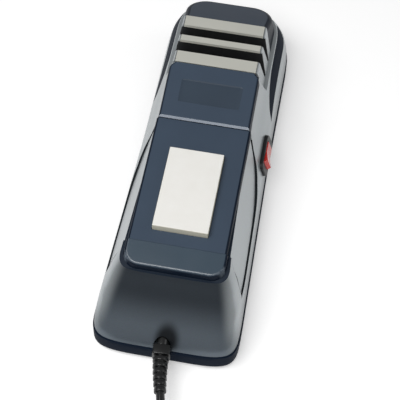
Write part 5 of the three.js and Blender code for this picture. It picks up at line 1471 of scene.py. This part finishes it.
def buildDiscs(s):
    z = s["height"]
    centre = (0, 0, z)
    ring = spun("abrasiveRing", s["ring"], centre, steps=96)
    finishPair(ring, "abrasiveRing", "abrasive_ring_", grit, True)
    holder = spun("discHolder", s["holder"], centre, steps=96)
    (half, deep, gap), end = s["hubSlot"], s["holder"][-1][1]
    gap += s["pinRadius"]
    carve(holder, block("hubSlot", (-half, end - deep, z - gap), (half, end + 1, z + gap)))
    finishPair(holder, "discHolder", "disc_holder_", blackAbs, True)
    collar = spun("shaftCollar", s["collar"], centre)
    radius, length, out = s["setScrew"]
    middle = (s["collar"][0][1] + s["collar"][-1][1]) / 2
    carve(collar, cylinder("setScrewHole", radius, length, (0, middle, z + out), "Z", 24))
    finishPair(collar, "shaftCollar", "shaft_collar_", steel)
    clip = spun("discClip", s["clip"], centre)
    half, start, end, deep = s["clipMouth"]
    carve(clip, block("clipMouth", (-half, start, z - deep), (half, end, z)))
    finishPair(clip, "discClip", "disc_clip_", steel)


def buildSprings(s):
    k = s["spring"]
    # the end turns lie flat, the others rise evenly
    points = []
    for i in range(k["turns"] * k["steps"] + 1):
        turn = i / k["steps"]
        rise = min(max((turn - 0.5) / (k["turns"] - 1), 0), 1)
        points.append((k["radius"] * math.cos(turn * math.tau), k["from"] + (k["to"] - k["from"]) * rise,
                       s["height"] + k["radius"] * math.sin(turn * math.tau)))
    activate(wire("discSpring", points, k["wire"], 3))
    bpy.ops.object.convert(target="MESH")
    springs = finishPair(bpy.context.object, "discSpring", "disc_spring_", steel, smooth=60)
    for spring, (_, side, shift) in zip(springs, s["discs"]):
        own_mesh(spring)


def buildShaft(s):
    radius, edge, start, end = (s[k] for k in ("radius", "edge", "start", "end"))
    profile = [(0, start), (radius - edge, start), (radius, start + edge), (radius, end - edge),
               (radius - edge, end), (0, end)]
    shaft = spun("driveShaft", profile, (0, 0, s["height"]), steps=48)
    for place in s["pins"]:
        pin = cylinder("drivePin", s["pinRadius"], 2 * s["pinReach"], (0, place, s["height"]), "X", 24)
        carve(shaft, pin, "UNION")
    finishPiece(shaft, "rotor", ["drive_shaft"], steel, 40)


for build in (buildDiscs, buildSprings, buildShaft):
    build(shaftSettings)
print("shaft, discs and springs made")


# The open box round the discs

chamberSettings = {
    "box": ((-35, 68.5, 4.8), (35, 118, 56)), "edge": 1.5,
    "room": ((-33, 70.5, 6.8), (33, 116, 70)), "roomEdge": 3,
    "boss": [(6.6, 112), (8.2, 112), (8.5, 112.3), (8.5, 117), (6.6, 117)],
    # radius, length and place along the shaft
    "holes": [("bushHole", 6.6, 20, 119), ("shaftHole", 5.2, 6, 69)],
}


def buildChamber(s):
    z = shaftSettings["height"]

    def roundedBox(name, low, high, edge, segments):
        box = block(name, low, high)
        roundPicked(box, lambda a, b: abs(a.z - b.z) > 20 or max(a.z, b.z) < low[2] + 0.2, edge, segments)
        return box

    chamber = roundedBox("grindingChamber", *s["box"], s["edge"], 3)
    carve(chamber, roundedBox("chamberRoom", *s["room"], s["roomEdge"], 4))
    carve(chamber, spun("bushBoss", s["boss"], (0, 0, z), steps=48), "UNION")
    for name, radius, length, y in s["holes"]:
        carve(chamber, cylinder(name, radius, length, (0, y, z), "Y"))
    finishPiece(chamber, "body", ["grinding_chamber"], blackAbs, 35)


buildFeet(footSettings)
buildScrews(screwSettings)
buildChamber(chamberSettings)
print("feet, screws and chamber made")

# The motor and the wires are shut in; their plain shapes get the real materials
insideMaterials = [
    (iron, ["motor_stack", "rotor_core"]), (copper, ["motor_coil_upper", "motor_coil_lower"]),
    (steel, ["front_bracket", "rear_bracket", "motor_bolt_upper", "motor_bolt_lower"]),
    (bronze, ["front_bush", "rear_bush", "rear_shaft_bush"]), (blackAbs, ["cooling_fan", "terminal_block"]),
    (blackPvc, ["inner_lead"]),
]
for material, nodes in insideMaterials:
    for node in nodes:
        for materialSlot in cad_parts[node].material_slots:
            materialSlot.material = material
print("motor dressed")
